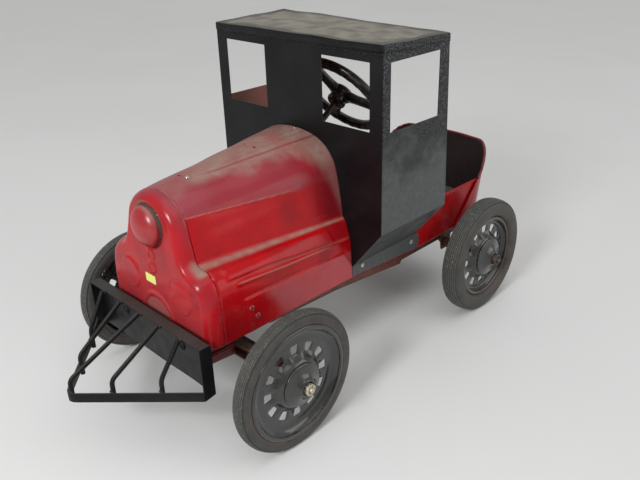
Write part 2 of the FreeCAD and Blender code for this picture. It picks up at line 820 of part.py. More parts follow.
def wheel_disc(end, plane_x, side, y):
    """Pressed disc: rolled rim, flat recessed web, slots and a coned centre."""
    lip, web_r, t = RIM_LIP_R[end], RIM_WEB_R[end], 1.8
    seat = lip - RIM_SEAT_DEPTH - 0.1
    profile = [
        (lip, -13.2),
        (lip, -11.2),
        (seat, -11.2),
        (seat, 11.2),
        (lip, 11.2),
        (lip, 13.2),
        (seat - 2.5, 13.2),
        (seat - 5, 4.0 + t),
        (web_r, 2.0 + t),
        (52, 2.0 + t),
        (46, 9.0 + t),
        (39, 14.0 + t),
        (HUB_R + 0.5, 14.0 + t),
        (HUB_R + 0.5, 14.0),
        (39 - 1, 14.0),
        (46 - 1.5, 9.0),
        (52 - 1, 2.0),
        (web_r, 2.0),
        (seat - 3, 2.0),
        (seat - t, -3.0),
        (seat - t, -13.2),
    ]
    disc = lathe_x(profile, side * plane_x, side, y, AXLE_Z)
    hub_start = side * (plane_x - HUB_INNER_REACH)
    hub_end = side * (plane_x + HUB_OUTER_REACH)
    hub = rod(V(hub_start, y, AXLE_Z), V(hub_end, y, AXLE_Z), HUB_R)
    web = rod(
        V(side * (plane_x + 14.0), y, AXLE_Z),
        V(side * (plane_x + 14.0 + t), y, AXLE_Z),
        HUB_R + 3,
    )
    disc = union([disc, hub, web])
    bore_r = SHAFT_R + RUNNING_GAP
    bore = rod(V(hub_start - 9 * side, y, AXLE_Z), V(hub_end + 9 * side, y, AXLE_Z), bore_r)
    return disc.cut(Part.makeCompound([bore] + disc_slots(plane_x, side, y)))


def disc_slots(plane_x, side, y):
    """Cutters for the ring of slots, each wider at its outer end."""
    slots = []
    x0 = side * (plane_x - 20)
    for i in range(SLOT_COUNT):
        outline = [
            V(x0, y - SLOT_INNER_HALF, AXLE_Z + SLOT_INNER_R),
            V(x0, y - SLOT_OUTER_HALF, AXLE_Z + SLOT_OUTER_R),
            V(x0, y + SLOT_OUTER_HALF, AXLE_Z + SLOT_OUTER_R),
            V(x0, y + SLOT_INNER_HALF, AXLE_Z + SLOT_INNER_R),
        ]
        slot = prism(outline, V(side * 40, 0, 0))
        slot.rotate(V(0, y, AXLE_Z), V(1, 0, 0), 360.0 * i / SLOT_COUNT)
        slots.append(slot)
    return slots


def hub_cap(plane_x, side, y):
    """Bell-shaped pressed cap that covers the disc's coned centre."""
    foot = 16.0
    profile = [
        (38, foot),
        (38, foot + 2.0),
        (34, foot + 4.5),
        (24, foot + 7.5),
        (16, foot + 9.3),
        (13.5, foot + 11.2),
        (HUB_R + 0.2, foot + 11.2),
        (HUB_R + 0.2, foot + 8.5),
        (16, foot + 7.2),
        (24, foot + 5.4),
        (32.5, foot + 3.0),
        (36, foot),
    ]
    return lathe_x(profile, side * plane_x, side, y, AXLE_Z)


# ---------------------------------------------------------------- pedals and crank

def crank_tilt():
    """Angle of the crank throws that makes both drive rods the same length."""
    return math.atan2(PEDAL_ROD_Z - AXLE_Z, WHEELBASE - PEDAL_Y)


def crank_pin(side):
    a = crank_tilt()
    up = V(0, math.sin(a), math.cos(a))
    return V(side * DRIVE_X, WHEELBASE, AXLE_Z) + up * (side * CRANK_THROW)


def crank_axle():
    """Rear axle bent into two opposed throws, one for each drive rod."""
    reach = REAR_TRACK / 2 + AXLE_REACH
    near, far = DRIVE_X - CRANK_PIN_HALF, DRIVE_X + CRANK_PIN_HALF
    points = [V(-reach, WHEELBASE, AXLE_Z)]
    for side, order in ((-1, (far, near)), (1, (near, far))):
        pin = crank_pin(side)
        first, last = (side * x for x in order)
        points.append(V(first, WHEELBASE, AXLE_Z))
        points.append(V(first, pin.y, pin.z))
        points.append(V(last, pin.y, pin.z))
        points.append(V(last, WHEELBASE, AXLE_Z))
    points.append(V(reach, WHEELBASE, AXLE_Z))
    return bent_rod(points, SHAFT_R, 9.0)


def axle_collars():
    """Collars beside the hangers and shoulders behind the rear hubs."""
    collars = []
    hanger_end = RAIL_X + RAIL_PLATE + 14.4
    hub_start = REAR_TRACK / 2 - HUB_INNER_REACH - 0.4
    for side in (-1, 1):
        for x in (hanger_end, hub_start - 6):
            a = V(side * x, WHEELBASE, AXLE_Z)
            b = V(side * (x + 6), WHEELBASE, AXLE_Z)
            extra = V(side, 0, 0)
            ring = rod(a, b, 11.0)
            ring = ring.cut(rod(a - extra, b + extra, SHAFT_R + RUNNING_GAP))
            collars.append(ring)
    return Part.makeCompound(collars)


def drive_rod(side):
    """Flat strap from a crank pin to a pedal lever, with a bushed eye and a pin."""
    rear = crank_pin(side)
    front = V(side * DRIVE_X, PEDAL_Y, PEDAL_ROD_Z)
    along = (rear - front).normalize()
    across = V(0, -along.z, along.y)
    half = STRAP / 2
    x0 = side * DRIVE_X - half
    corners = [front + across * 8, rear + across * 8, rear - across * 8, front - across * 8]
    strap = prism([V(x0, c.y, c.z) for c in corners], V(STRAP, 0, 0))
    wide = V(5.0, 0, 0)
    thin = V(half, 0, 0)
    solids = [
        strap,
        rod(rear - wide, rear + wide, 12.0),
        rod(front - thin, front + thin, 8.0),
    ]
    inner = V(side * (LEVER_X[1] + 0.6), PEDAL_Y, PEDAL_ROD_Z)
    outer = V(side * (DRIVE_X + 6), PEDAL_Y, PEDAL_ROD_Z)
    solids.append(rod(inner, outer, 4.0))
    rod_shape = union(solids)
    return rod_shape.cut(rod(rear - wide * 2, rear + wide * 2, SHAFT_R + RUNNING_GAP))


def pedal_lever(side):
    """Strap that hangs from the pivot rod and carries the pedal on its inner side."""
    x0, x1 = LEVER_X
    low = PEDAL_ROD_Z
    y = PEDAL_Y
    solids = [
        box(x0, x1, y - 9, y + 9, low, PEDAL_PIVOT_Z),
        rod(V(x0, y, low), V(x1, y, low), 9.0),
        rod(V(x0 - 8, y, PEDAL_PIVOT_Z), V(x1 + 3, y, PEDAL_PIVOT_Z), 10.5),
        rod(V(x0 - 52, y, low + 32), V(x0, y, low + 32), 4.5),
    ]
    lever = union(solids)
    bore_r = HANGER_ROD_R + RUNNING_GAP
    a = V(x0 - 20, y, PEDAL_PIVOT_Z)
    b = V(x1 + 20, y, PEDAL_PIVOT_Z)
    lever = lever.cut(rod(a, b, bore_r))
    return lever if side > 0 else mirrored(lever)


def pedal_pad(side):
    """Block pedal on the lever's stub, its flat face toward the driver."""
    x1 = LEVER_X[0] - 1
    y, z = PEDAL_Y, PEDAL_ROD_Z + 32
    block = box(x1 - 50, x1, y - 9, y + 11, z - 24, z + 24)
    block = block.makeFillet(4.0, block.Edges)
    pad = block.cut(rod(V(x1 - 60, y, z), V(x1 + 5, y, z), 4.5 + RUNNING_GAP))
    return pad if side > 0 else mirrored(pad)


# ---------------------------------------------------------------- fasteners

def screw_head(at, direction, radius, height):
    """Low domed screw head with a straight slot, standing on a surface."""
    foot = rod(at, at + direction * (height * 0.5), radius)
    cone = Part.makeCone(
        radius, radius * 0.6, height * 0.5, at + direction * (height * 0.5), direction
    )
    head = union([foot, cone])
    size = radius * 3
    slot = Part.makeBox(size, size, radius * 0.3, V(-size / 2, -size / 2, -radius * 0.15))
    slot.translate(at + direction * (height * 0.6 + size / 2))
    return head.cut(slot)


def body_bolts():
    bolts = []
    for y, z in ((-5, 232), (7, 212)):
        bolts.append(screw_head(V(BODY_HALF + 0.05, y, z), V(1, 0, 0), 6.0, 4.0))
    return Part.makeCompound(bolts + [mirrored(b) for b in bolts])


def cab_screws():
    screws = []
    face = BODY_HALF + SHEET + 0.05
    for y, z in ((274, 203), (427, 197)):
        screws.append(screw_head(V(face, y, z), V(1, 0, 0), 5.0, 3.5))
    return Part.makeCompound(screws + [mirrored(s) for s in screws])


# ---------------------------------------------------------------- build

def write_wheels():
    front, rear = FRONT_TRACK / 2, REAR_TRACK / 2
    for end, plane_x, y in (("front", front, 0.0), ("rear", rear, WHEELBASE)):
        for hand, side in (("left", 1), ("right", -1)):
            tag = end + "_" + hand
            export("tyre_" + tag, tyre(end, plane_x, side, y))
            export("wheel_disc_" + tag, wheel_disc(end, plane_x, side, y))
            export("hub_cap_" + tag, hub_cap(plane_x, side, y))


def write_pairs():
    for hand, side in (("left", 1), ("right", -1)):
        export("tub_side_" + hand, tub_side(side))
        export("cab_side_" + hand, cab_side(side))
        export("front_rail_" + hand, front_rail(side))
        export("chassis_rail_" + hand, chassis_rail(side))
        export("axle_bracket_" + hand, axle_bracket(side))
        export("axle_hanger_" + hand, axle_hanger(side))
        export("knuckle_" + hand, knuckle(side))
        export("drive_rod_" + hand, drive_rod(side))
        export("pedal_lever_" + hand, pedal_lever(side))
        export("pedal_pad_" + hand, pedal_pad(side))
        end = axle_end(FRONT_TRACK / 2, 0.0)
        export("axle_end_front_" + hand, end if side > 0 else mirrored(end))


def write_single_parts():
    rear_end = axle_end(REAR_TRACK / 2, WHEELBASE)
    for name, shape in (
        ("nose_shell", nose_shell()),
        ("hood_shell", hood_shell()),
        ("headlight_dome", headlight_dome()),
        ("back_panel", back_panel()),
        ("seat_pan", seat_pan()),
        ("cab_front_panel", cab_front_panel()),
        ("cab_roof", cab_roof()),
        ("cab_screws", cab_screws()),
        ("bumper_plate", bumper_plate()),
        ("bumper_bolts", bumper_bolts()),
        ("pilot_bar", pilot_bar()),
        ("pilot_rods", Part.makeCompound(pilot_rods())),
        ("body_bolts", body_bolts()),
        ("front_axle_beam", front_axle_beam()),
        ("kingpins", kingpins()),
        ("hanger_posts", hanger_posts()),
        ("pedal_pivot_rod", pedal_pivot_rod()),
        ("steering_cross_member", steering_cross_member()),
        ("dash_strap", dash_strap()),
        ("steering_column", steering_column()),
        ("steering_wheel", steering_wheel()),
        ("steering_nut", steering_nut()),
        ("tie_rod", tie_rod()),
        ("crank_axle", crank_axle()),
        ("axle_collars", axle_collars()),
        ("axle_ends_rear", Part.makeCompound([rear_end, mirrored(rear_end)])),
    ):
        export(name, shape)


os.makedirs("parts", exist_ok=True)
write_wheels()
write_pairs()
write_single_parts()
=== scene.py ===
import json
import math
import random

import bmesh
import bpy
from mathutils import Matrix, Vector, noise
from mathutils.geometry import tessellate_polygon


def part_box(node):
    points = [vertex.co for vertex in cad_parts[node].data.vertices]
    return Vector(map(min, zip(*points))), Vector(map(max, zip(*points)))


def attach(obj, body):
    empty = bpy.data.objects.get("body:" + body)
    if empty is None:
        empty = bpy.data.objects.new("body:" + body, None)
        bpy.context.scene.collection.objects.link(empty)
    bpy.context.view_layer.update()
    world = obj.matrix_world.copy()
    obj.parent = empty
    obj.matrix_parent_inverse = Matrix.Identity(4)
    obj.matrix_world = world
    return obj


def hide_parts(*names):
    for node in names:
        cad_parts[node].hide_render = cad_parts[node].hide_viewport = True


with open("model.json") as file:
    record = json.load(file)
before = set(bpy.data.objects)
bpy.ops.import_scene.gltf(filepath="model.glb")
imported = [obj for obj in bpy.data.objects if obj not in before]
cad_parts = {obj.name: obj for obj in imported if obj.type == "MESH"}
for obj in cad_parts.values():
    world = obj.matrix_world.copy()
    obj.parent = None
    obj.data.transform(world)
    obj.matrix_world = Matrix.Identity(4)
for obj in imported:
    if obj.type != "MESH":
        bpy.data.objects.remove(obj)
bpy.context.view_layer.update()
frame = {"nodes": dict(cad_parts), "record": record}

# Lengths below are millimetres. Y is measured rearward from the front axle line.
MM = 0.001


def node_box(name):
    low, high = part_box(name)
    return [c / MM for c in low], [c / MM for c in high]


def middle(name):
    low, high = node_box(name)
    return [(a + b) / 2 for a, b in zip(low, high)]


FRONT_PLANE, AXLE_Y, AXLE_Z = middle("tyre_front_left")
REAR_PLANE, REAR_Y, _ = middle("tyre_rear_left")
WHEELBASE = REAR_Y - AXLE_Y
CAB_FRONT = node_box("cab_front_panel")[0][1] - AXLE_Y
ROOF_LOW, ROOF_HIGH = node_box("cab_roof")
CAB_HALF, CAB_TOP = ROOF_HIGH[0], ROOF_HIGH[2]
ROOF_FRONT, ROOF_REAR = ROOF_LOW[1] - AXLE_Y, ROOF_HIGH[1] - AXLE_Y
HOOD_LOW, HOOD_HIGH = node_box("hood_shell")
NOSE_SEAM = HOOD_LOW[1] - AXLE_Y
BODY_HALF, BODY_BOTTOM = HOOD_HIGH[0], HOOD_LOW[2]
BUMPER_LOW, BUMPER_HIGH = node_box("bumper_plate")
BUMPER_FRONT = BUMPER_LOW[1] - AXLE_Y
BUMPER_TOP = BUMPER_HIGH[2]
TUB_BOTTOM = node_box("tub_side_left")[0][2]


# ---------------------------------------------------------------- small maths

def smooth(a, b, t):
    t = max(0.0, min(1.0, (t - a) / (b - a)))
    return t * t * (3 - 2 * t)


def between(a, b, c, d, t):
    """Rises from a to b and falls again from c to d."""
    return smooth(a, b, t) * (1 - smooth(c, d, t))


def bump(t, centre, width):
    return math.exp(-((t - centre) / width) ** 2)


def table(points, t):
    """Straight interpolation in a list of (t, value)."""
    if t <= points[0][0]:
        return points[0][1]
    for (t0, v0), (t1, v1) in zip(points, points[1:]):
        if t <= t1:
            return v0 + (v1 - v0) * (t - t0) / (t1 - t0)
    return points[-1][1]


def wander(x, y, z, size):
    """Smooth noise from about -1 to 1 whose lumps are size millimetres wide."""
    return noise.noise(Vector((x / size, y / size, z / size))) * 2


def angles(count):
    return [2 * math.pi * k / count for k in range(count)]


def rounded(points, radius, steps=4, closed=False):
    """Polyline whose corners are eased with curves that start radius away."""
    count = len(points)
    result = []
    for i, corner in enumerate(points):
        p = Vector(corner)
        if not closed and i in (0, count - 1):
            result.append(p)
            continue
        a = Vector(points[i - 1]) - p
        b = Vector(points[(i + 1) % count]) - p
        start = p + a.normalized() * min(radius, a.length * 0.5)
        end = p + b.normalized() * min(radius, b.length * 0.5)
        for k in range(steps + 1):
            t = k / steps
            result.append(start * (1 - t) ** 2 + p * (2 * t * (1 - t)) + end * t * t)
    return result


def pairs(points):
    return [(p.x, p.y) for p in points]


def eased(points, radius, steps=4, closed=True):
    return pairs(rounded(points, radius, steps, closed))


def spline(points, count, before=None, after=None):
    """Catmull-Rom curve through 2-D points, evenly resampled to count points."""
    pts = [Vector(p) for p in points]
    first = Vector(before) if before else pts[0] * 2 - pts[1]
    last = Vector(after) if after else pts[-1] * 2 - pts[-2]
    full = [first] + pts + [last]
    dense = []
    for i in range(1, len(full) - 2):
        a, b, c, d = full[i - 1:i + 3]
        for k in range(24):
            t = k / 24
            dense.append(0.5 * (2 * b + (c - a) * t + (2 * a - 5 * b + 4 * c - d) * t * t
                                + (3 * b - a - 3 * c + d) * t ** 3))
    return resampled(dense + [pts[-1]], count)


def resampled(line, count):
    reach = [0.0]
    for a, b in zip(line, line[1:]):
        reach.append(reach[-1] + (b - a).length)
    result = []
    k = 0
    for i in range(count):
        target = reach[-1] * i / (count - 1)
        while k < len(line) - 2 and reach[k + 1] < target:
            k += 1
        span = reach[k + 1] - reach[k]
        result.append(line[k].lerp(line[k + 1], (target - reach[k]) / span if span else 0.0))
    return result


def relaxed(points, first, last, passes):
    """Smooth a polyline between two indices."""
    for _ in range(passes):
        old = [p.copy() for p in points]
        for i in range(max(first, 1), min(last, len(points) - 1)):
            points[i] = old[i] * 0.5 + (old[i - 1] + old[i + 1]) * 0.25
    return points


# ---------------------------------------------------------------- mesh building

def grid(points, wrap_rows=False, wrap_columns=False, keep=None):
    """Vertices and faces over a list of equal rows of points."""
    rows, columns = len(points), len(points[0])
    faces = []
    for i in range(rows if wrap_rows else rows - 1):
        for j in range(columns if wrap_columns else columns - 1):
            if keep and not keep(i, j):
                continue
            a, b = i * columns, (i + 1) % rows * columns
            k = (j + 1) % columns
            faces.append((a + j, a + k, b + k, b + j))
    return [p for row in points for p in row], faces


class Mesh:
    """Vertices in millimetres, faces, a material number per face, paint values per vertex."""

    def __init__(self):
        self.verts = []
        self.faces = []
        self.groups = []
        self.paint = {}

    def add(self, verts, faces, group=0):
        base = len(self.verts)
        self.verts += [Vector(v) for v in verts]
        self.faces += [tuple(i + base for i in f) for f in faces]
        self.groups += [group] * len(faces)
        return self

    def sleeve(self, rows, group=0, start=True, end=True):
        """Join closed rings of points, with a flat end where asked."""
        verts, faces = grid(rows, wrap_columns=True)
        count = len(rows[0])
        if start:
            faces.append(tuple(range(count - 1, -1, -1)))
        if end:
            faces.append(tuple(len(verts) - count + k for k in range(count)))
        return self.add(verts, faces, group)

    def painted(self, name, value):
        """Give every vertex so far a paint value, a number or value(vertex)."""
        self.paint[name] = {i: value(v) if callable(value) else value
                            for i, v in enumerate(self.verts)}
        return self

    def mirror(self):
        """The same mesh on the other side of the car."""
        other = Mesh()
        other.verts = [Vector((-v.x, v.y, v.z)) for v in self.verts]
        other.faces = [tuple(reversed(f)) for f in self.faces]
        other.groups = list(self.groups)
        return other

    def both_sides(self):
        return (("left", self), ("right", self.mirror()))


def lathe(mesh, profile, plane, side, y, segments):
    """Turn a closed (radius, outboard offset) profile about a wheel's axle."""
    rows = [[(side * plane + side * s, y + r * math.sin(a), AXLE_Z + r * math.cos(a))
             for r, s in profile] for a in angles(segments)]
    return mesh.add(*grid(rows, wrap_rows=True, wrap_columns=True))


def turned(mesh, profile, origin, axis, segments, group=0):
    """Turn a (radius, height) profile about any axis and close its ends."""
    axis = Vector(axis).normalized()
    side = axis.orthogonal().normalized()
    other = axis.cross(side)
    rows = [[Vector(origin) + axis * h + (side * math.cos(a) + other * math.sin(a)) * r
             for a in angles(segments)] for r, h in profile]
    return mesh.sleeve(rows, group)


def tube(mesh, path, radius, segments):
    """Round bar along a path."""
    path = [Vector(p) for p in path]
    normal = None
    rows = []
    for i, p in enumerate(path):
        tangent = (path[min(i + 1, len(path) - 1)] - path[max(i - 1, 0)]).normalized()
        if normal is None:
            normal = tangent.orthogonal().normalized()
        normal = (normal - tangent * normal.dot(tangent)).normalized()
        other = tangent.cross(normal)
        rows.append([p + (normal * math.cos(a) + other * math.sin(a)) * radius
                     for a in angles(segments)])
    return mesh.sleeve(rows)


def slab(mesh, outline, direction):
    """Extrude a flat 3-D outline along a vector."""
    near = [Vector(p) for p in outline]
    return mesh.sleeve([near, [p + Vector(direction) for p in near]])


def blob(mesh, centre, size, seed):
    """Weld bead: a squashed ball with a wavy skin."""
    rows = []
    for i in range(7):
        polar = math.pi * (i + 0.15) / 6.3
        row = []
        for a in angles(12):
            d = Vector((math.sin(polar) * math.cos(a), math.sin(polar) * math.sin(a),
                        math.cos(polar)))
            swell = 1 + 0.22 * noise.noise(d * 2.1 + Vector((seed, 0, 0)))
            row.append(Vector(centre) + d * Vector(size) * swell)
        rows.append(row)
    return mesh.sleeve(rows)


def slotted_head(mesh, centre, axis, radius, height, turn):
    """Domed screw head with a straight slot, standing on a surface."""
    axis = Vector(axis).normalized()
    side = Matrix.Rotation(turn, 3, axis) @ axis.orthogonal().normalized()
    other = axis.cross(side)
    edges = [-1, -0.96, -0.88, -0.75, -0.6, -0.45, -0.3, -0.2, -0.15, -0.13]
    rows = []
    for v in edges + [0.0] + [-e for e in reversed(edges)]:
        chord = math.sqrt(max(0.0, 1 - v * v))
        row = []
        for k in range(17):
            u = chord * math.cos(math.pi * (1 - k / 16))
            rim = math.sqrt(max(0.0, 1 - min(1.0, u * u + v * v)))
            h = height * (0.35 + 0.65 * rim) if rim > 0.02 else 0.0
            if abs(v) < 0.14:
                h = min(h, height * 0.45)
            row.append(Vector(centre) + (side * u + other * v) * radius + axis * h)
        rows.append(row)
    return mesh.add(*grid(rows))


def flat_face(mesh, outer, holes, place):
    """Flat face with holes. place turns (u, v) into a point."""
    loops = [outer] + holes
    triangles = tessellate_polygon([[Vector((u, v, 0)) for u, v in loop] for loop in loops])
    return mesh.add([place(u, v) for loop in loops for u, v in loop],
                    [tuple(t) for t in triangles])


def finished(name, mesh, body, materials, nodes=(), sharp=38, solid=None, bevel=None,
             outward=None):
    """Turn a Mesh into a piece that rides on a body and stands for CAD nodes.

    A piece with solid is a sheet of that thickness whose faces look away from outward.
    """
    data = bpy.data.meshes.new(name)
    verts = [(v.x * MM, (v.y + AXLE_Y) * MM, v.z * MM) for v in mesh.verts]
    data.from_pydata(verts, [], mesh.faces)
    data.polygons.foreach_set("material_index", mesh.groups)
    for key, column in mesh.paint.items():
        values = [column.get(i, 0.0) for i in range(len(verts))]
        data.attributes.new(key, "FLOAT", "POINT").data.foreach_set("value", values)
    work = bmesh.new()
    work.from_mesh(data)
    bmesh.ops.remove_doubles(work, verts=work.verts, dist=0.00002)
    bmesh.ops.dissolve_degenerate(work, edges=work.edges, dist=0.000005)
    if outward is None:
        bmesh.ops.recalc_face_normals(work, faces=work.faces)
    else:
        centre = Vector((outward[0], outward[1] + AXLE_Y, outward[2])) * MM
        if sum(f.normal.dot(f.calc_center_median() - centre) * f.calc_area()
               for f in work.faces) < 0:
            bmesh.ops.reverse_faces(work, faces=work.faces)
    work.to_mesh(data)
    work.free()
    data.shade_smooth()
    data.set_sharp_from_angle(angle=math.radians(sharp))
    piece = bpy.data.objects.new(name, data)
    bpy.context.collection.objects.link(piece)
    for material in materials:
        data.materials.append(material)
    if solid:
        thick = piece.modifiers.new("sheet", "SOLIDIFY")
        thick.thickness = solid * MM
        thick.offset = -1
        thick.material_offset = 1 if len(materials) > 1 else 0
        thick.material_offset_rim = 0
    if bevel:
        edge = piece.modifiers.new("edges", "BEVEL")
        edge.width = bevel * MM
        edge.segments = 2
        edge.limit_method = "ANGLE"
        edge.angle_limit = math.radians(40)
        edge.use_clamp_overlap = True
        edge.harden_normals = True
    if nodes:
        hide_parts(*nodes)
    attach(piece, body)


# ---------------------------------------------------------------- materials

class Shader:
    """A principled material whose inputs are driven by procedural nodes."""

    def __init__(self, name, **constants):
        self.material = bpy.data.materials.new(name)
        self.material.use_nodes = True
        self.tree = self.material.node_tree
        self.bsdf = self.tree.nodes["Principled BSDF"]
        for socket, value in constants.items():
            self.bsdf.inputs[socket.replace("_", " ")].default_value = value
        self.where = self.add("ShaderNodeTexCoord").outputs["Object"]

    def add(self, kind, inputs=None, **props):
        node = self.tree.nodes.new(kind)
        for key, value in props.items():
            setattr(node, key, value)
        for key, value in (inputs or {}).items():
            self.put(node.inputs[key], value)
        return node

    def put(self, socket, value):
        if isinstance(value, bpy.types.NodeSocket):
            self.tree.links.new(value, socket)
        else:
            socket.default_value = value

    def noise(self, size, detail=4.0, rough=0.55):
        """Noise from 0 to 1 whose lumps are size millimetres."""
        return self.add("ShaderNodeTexNoise", {
            "Vector": self.where, "Scale": 1000.0 / size, "Detail": detail,
            "Roughness": rough}).outputs["Fac"]

    def span(self, value, low, high, to_low=0.0, to_high=1.0):
        return self.add("ShaderNodeMapRange", {
            "Value": value, "From Min": low, "From Max": high, "To Min": to_low,
            "To Max": to_high}, interpolation_type="SMOOTHSTEP").outputs["Result"]

    def mask(self, noise_inputs, *limits):
        """Noise, spread from one range to another where limits are given."""
        value = self.noise(*noise_inputs)
        return self.span(value, *limits) if limits else value

    def value(self, name):
        return self.add("ShaderNodeAttribute", attribute_name=name).outputs["Fac"]

    def math(self, operation, a, b=0.0, clamp=False):
        return self.add("ShaderNodeMath", {0: a, 1: b}, operation=operation,
                        use_clamp=clamp).outputs[0]

    def times(self, a, b):
        return self.math("MULTIPLY", a, b)

    def mix(self, amount, a, b):
        return self.add("ShaderNodeMix", {"Factor": amount, "A": a, "B": b},
                        data_type="RGBA").outputs["Result"]

    def split(self, vector, index):
        return self.add("ShaderNodeSeparateXYZ", {0: vector}).outputs[index]

    def facing(self, index):
        return self.split(self.add("ShaderNodeNewGeometry").outputs["Normal"], index)

    def relief(self, height, depth):
        """Bump of the given depth in millimetres, added to any earlier one."""
        node = self.add("ShaderNodeBump", {"Strength": 1.0, "Distance": depth * MM,
                                           "Height": height})
        old = self.bsdf.inputs["Normal"]
        if old.is_linked:
            self.put(node.inputs["Normal"], old.links[0].from_socket)
        self.put(old, node.outputs["Normal"])

    def done(self, **inputs):
        for socket, value in inputs.items():
            self.put(self.bsdf.inputs[socket.replace("_", " ")], value)
        return self.material


def rgb(r, g, b):
    return (r, g, b, 1.0)


def red_paint(name="red_enamel", gloss=0.26, dull=0.22, mirror=0.14):
    """Glossy red enamel. Paint values add painted shade with random darker patches, a dust film
    that also paints a sheen, a pale painted reflection and dust.
    """
    s = Shader(name, Coat_Roughness=0.16, Specular_IOR_Level=mirror)
    fine = s.mask((3, 6, 0.7), 0.35, 0.75)
    patch = s.mask((26, 5, 0.6), 0.3, 0.7)
    film_and_painted_sheen = s.value("film_and_painted_sheen")
    base = s.mix(s.mask((60,), 0.35, 0.7), rgb(0.43, 0.003, 0.006), rgb(0.34, 0.004, 0.007))
    # Painted shade: a darker red where the paint value asks for it.
    base = s.mix(s.value("painted_shade_and_mottle"), base, rgb(0.13, 0.007, 0.013))
    # Film: a hazy dust film that also stands for a painted sheen.
    base = s.mix(s.times(film_and_painted_sheen, s.span(fine, 0, 1, 0.75, 1.0)), base, rgb(0.26, 0.055, 0.075))
    # A pale pink painted reflection where the paint value asks for it.
    painted_reflection = s.times(s.value("painted_reflection"), s.span(patch, 0, 1, 0.8, 1.0))
    base = s.mix(painted_reflection, base, rgb(0.41, 0.062, 0.070))
    dust = s.math("MULTIPLY", s.value("dust"), s.math("ADD", s.times(patch, 0.25), 0.75), True)
    base = s.mix(dust, base, s.mix(fine, rgb(0.27, 0.215, 0.175), rgb(0.36, 0.28, 0.225)))
    cells = s.add("ShaderNodeTexVoronoi", {"Vector": s.where, "Scale": 1000.0 / 17})
    chip = s.times(s.span(cells.outputs["Distance"], 0.035, 0.02), s.mask((90,), 0.55, 0.7))
    base = s.mix(chip, base, rgb(0.10, 0.045, 0.03))
    rough = s.math("ADD", s.mask((35, 5), 0.3, 0.7, dull, dull + 0.12), s.times(dust, 0.4))
    rough = s.math("ADD", rough, s.times(film_and_painted_sheen, 0.12))
    coat = s.math("SUBTRACT", gloss, s.times(dust, gloss), True)
    s.relief(s.noise(22, 2, 0.4), 0.35)
    s.relief(s.noise(1.4, 3, 0.5), 0.02)
    return s.done(Base_Color=base, Roughness=rough, Coat_Weight=coat)


def black_paint(name, dusty, pitted, gloss, painted_sheen):
    """Brushed-on black paint with pits, dust on flat tops, a painted grey sheen low on the sides
    and painted glints higher up them.

    Paint values: dust, rough (pits near welds).
    """
    s = Shader(name, Specular_IOR_Level=0.2)
    cloud = s.mask((70, 5), 0.3, 0.75)
    base = s.mix(cloud, rgb(0.0036, 0.0037, 0.0045), rgb(0.0078, 0.0078, 0.0090))
    speck = s.times(s.mask((2.2, 5, 0.7), 0.62, 0.75), s.span(cloud, 0, 1, 0.1, 0.5))
    base = s.mix(speck, base, rgb(0.075, 0.07, 0.065))
    # The last argument scales a painted grey sheen and painted glints on faces that look sideways.
    side = s.times(s.span(s.math("ABSOLUTE", s.facing(0)), 0.75, 0.95), painted_sheen)
    height = s.math("ADD", s.split(s.where, 2), s.mask((55, 5, 0.6), 0.3, 0.7, -0.045, 0.045))
    # Painted sheen: paler grey low on the sides, mottled.
    low = s.times(s.span(height, 0.50, 0.37, 0.1, 1.0), s.mask((9, 6, 0.7), 0.35, 0.7, 0.75, 1.0))
    base = s.mix(s.times(side, low), base, rgb(0.090, 0.096, 0.098))
    # Painted glints: fine bright specks higher up the sides.
    painted_glints = s.times(s.span(height, 0.44, 0.52), s.mask((3.0, 5, 0.75), 0.5, 0.64))
    base = s.mix(s.times(side, s.times(painted_glints, 0.55)), base, rgb(0.26, 0.265, 0.28))
    dust = s.math("MULTIPLY", s.span(s.facing(2), 0.55, 0.95),
                  s.mask((55, 6, 0.62), 0.25, 0.6, dusty * 0.55, dusty), True)
    dust = s.math("MAXIMUM", dust, s.value("dust"))
    tan = s.mix(s.noise(18), rgb(0.225, 0.212, 0.185), rgb(0.285, 0.268, 0.228))
    base = s.mix(dust, base, tan)
    rough = s.math("ADD", s.mask((28, 4), 0.3, 0.7, gloss, gloss + 0.12), s.times(dust, 0.35))
    s.relief(s.times(s.mask((3.2, 3, 0.6), 0.35, 0.68),
                     s.math("ADD", s.value("rough"), pitted, True)), 0.5)
    s.relief(s.noise(45, 2, 0.4), 0.5)
    return s.done(Base_Color=base, Roughness=rough)


def tyre_rubber():
    """Old solid rubber. Paint values: rim (brown), tread (pale scuffs) and a value for painted
    shade in the grooves and the shoulder cut (dark).
    """
    s = Shader("old_rubber", Specular_IOR_Level=0.35)
    fine = s.mask((2.5, 6, 0.75), 0.42, 0.7)
    tread = s.value("tread")
    base = s.mix(s.mask((30, 5, 0.6), 0.3, 0.7), rgb(0.034, 0.033, 0.032), rgb(0.058, 0.056, 0.053))
    for amount, colour in (
            (s.mask((60, 3), 0.45, 0.65, 0.0, 0.6), rgb(0.062, 0.050, 0.040)),
            (s.times(fine, 0.4), rgb(0.110, 0.108, 0.100)),
            (s.times(s.value("rim"), s.mask((14, 5), 0.32, 0.62)), rgb(0.095, 0.060, 0.042)),
            (s.times(tread, 0.45), rgb(0.085, 0.090, 0.080)),
            (s.times(tread, s.mask((3.2, 6, 0.75), 0.56, 0.66)), rgb(0.30, 0.31, 0.285)),
            # Painted shade: the rubber darkened in its grooves.
            (s.times(s.value("groove_shade"), 0.85), rgb(0.014, 0.014, 0.013))):
        base = s.mix(amount, base, colour)
    s.relief(s.noise(1.6, 5, 0.7), 0.16)
    return s.done(Base_Color=base, Roughness=s.span(fine, 0, 1, 0.5, 0.72))


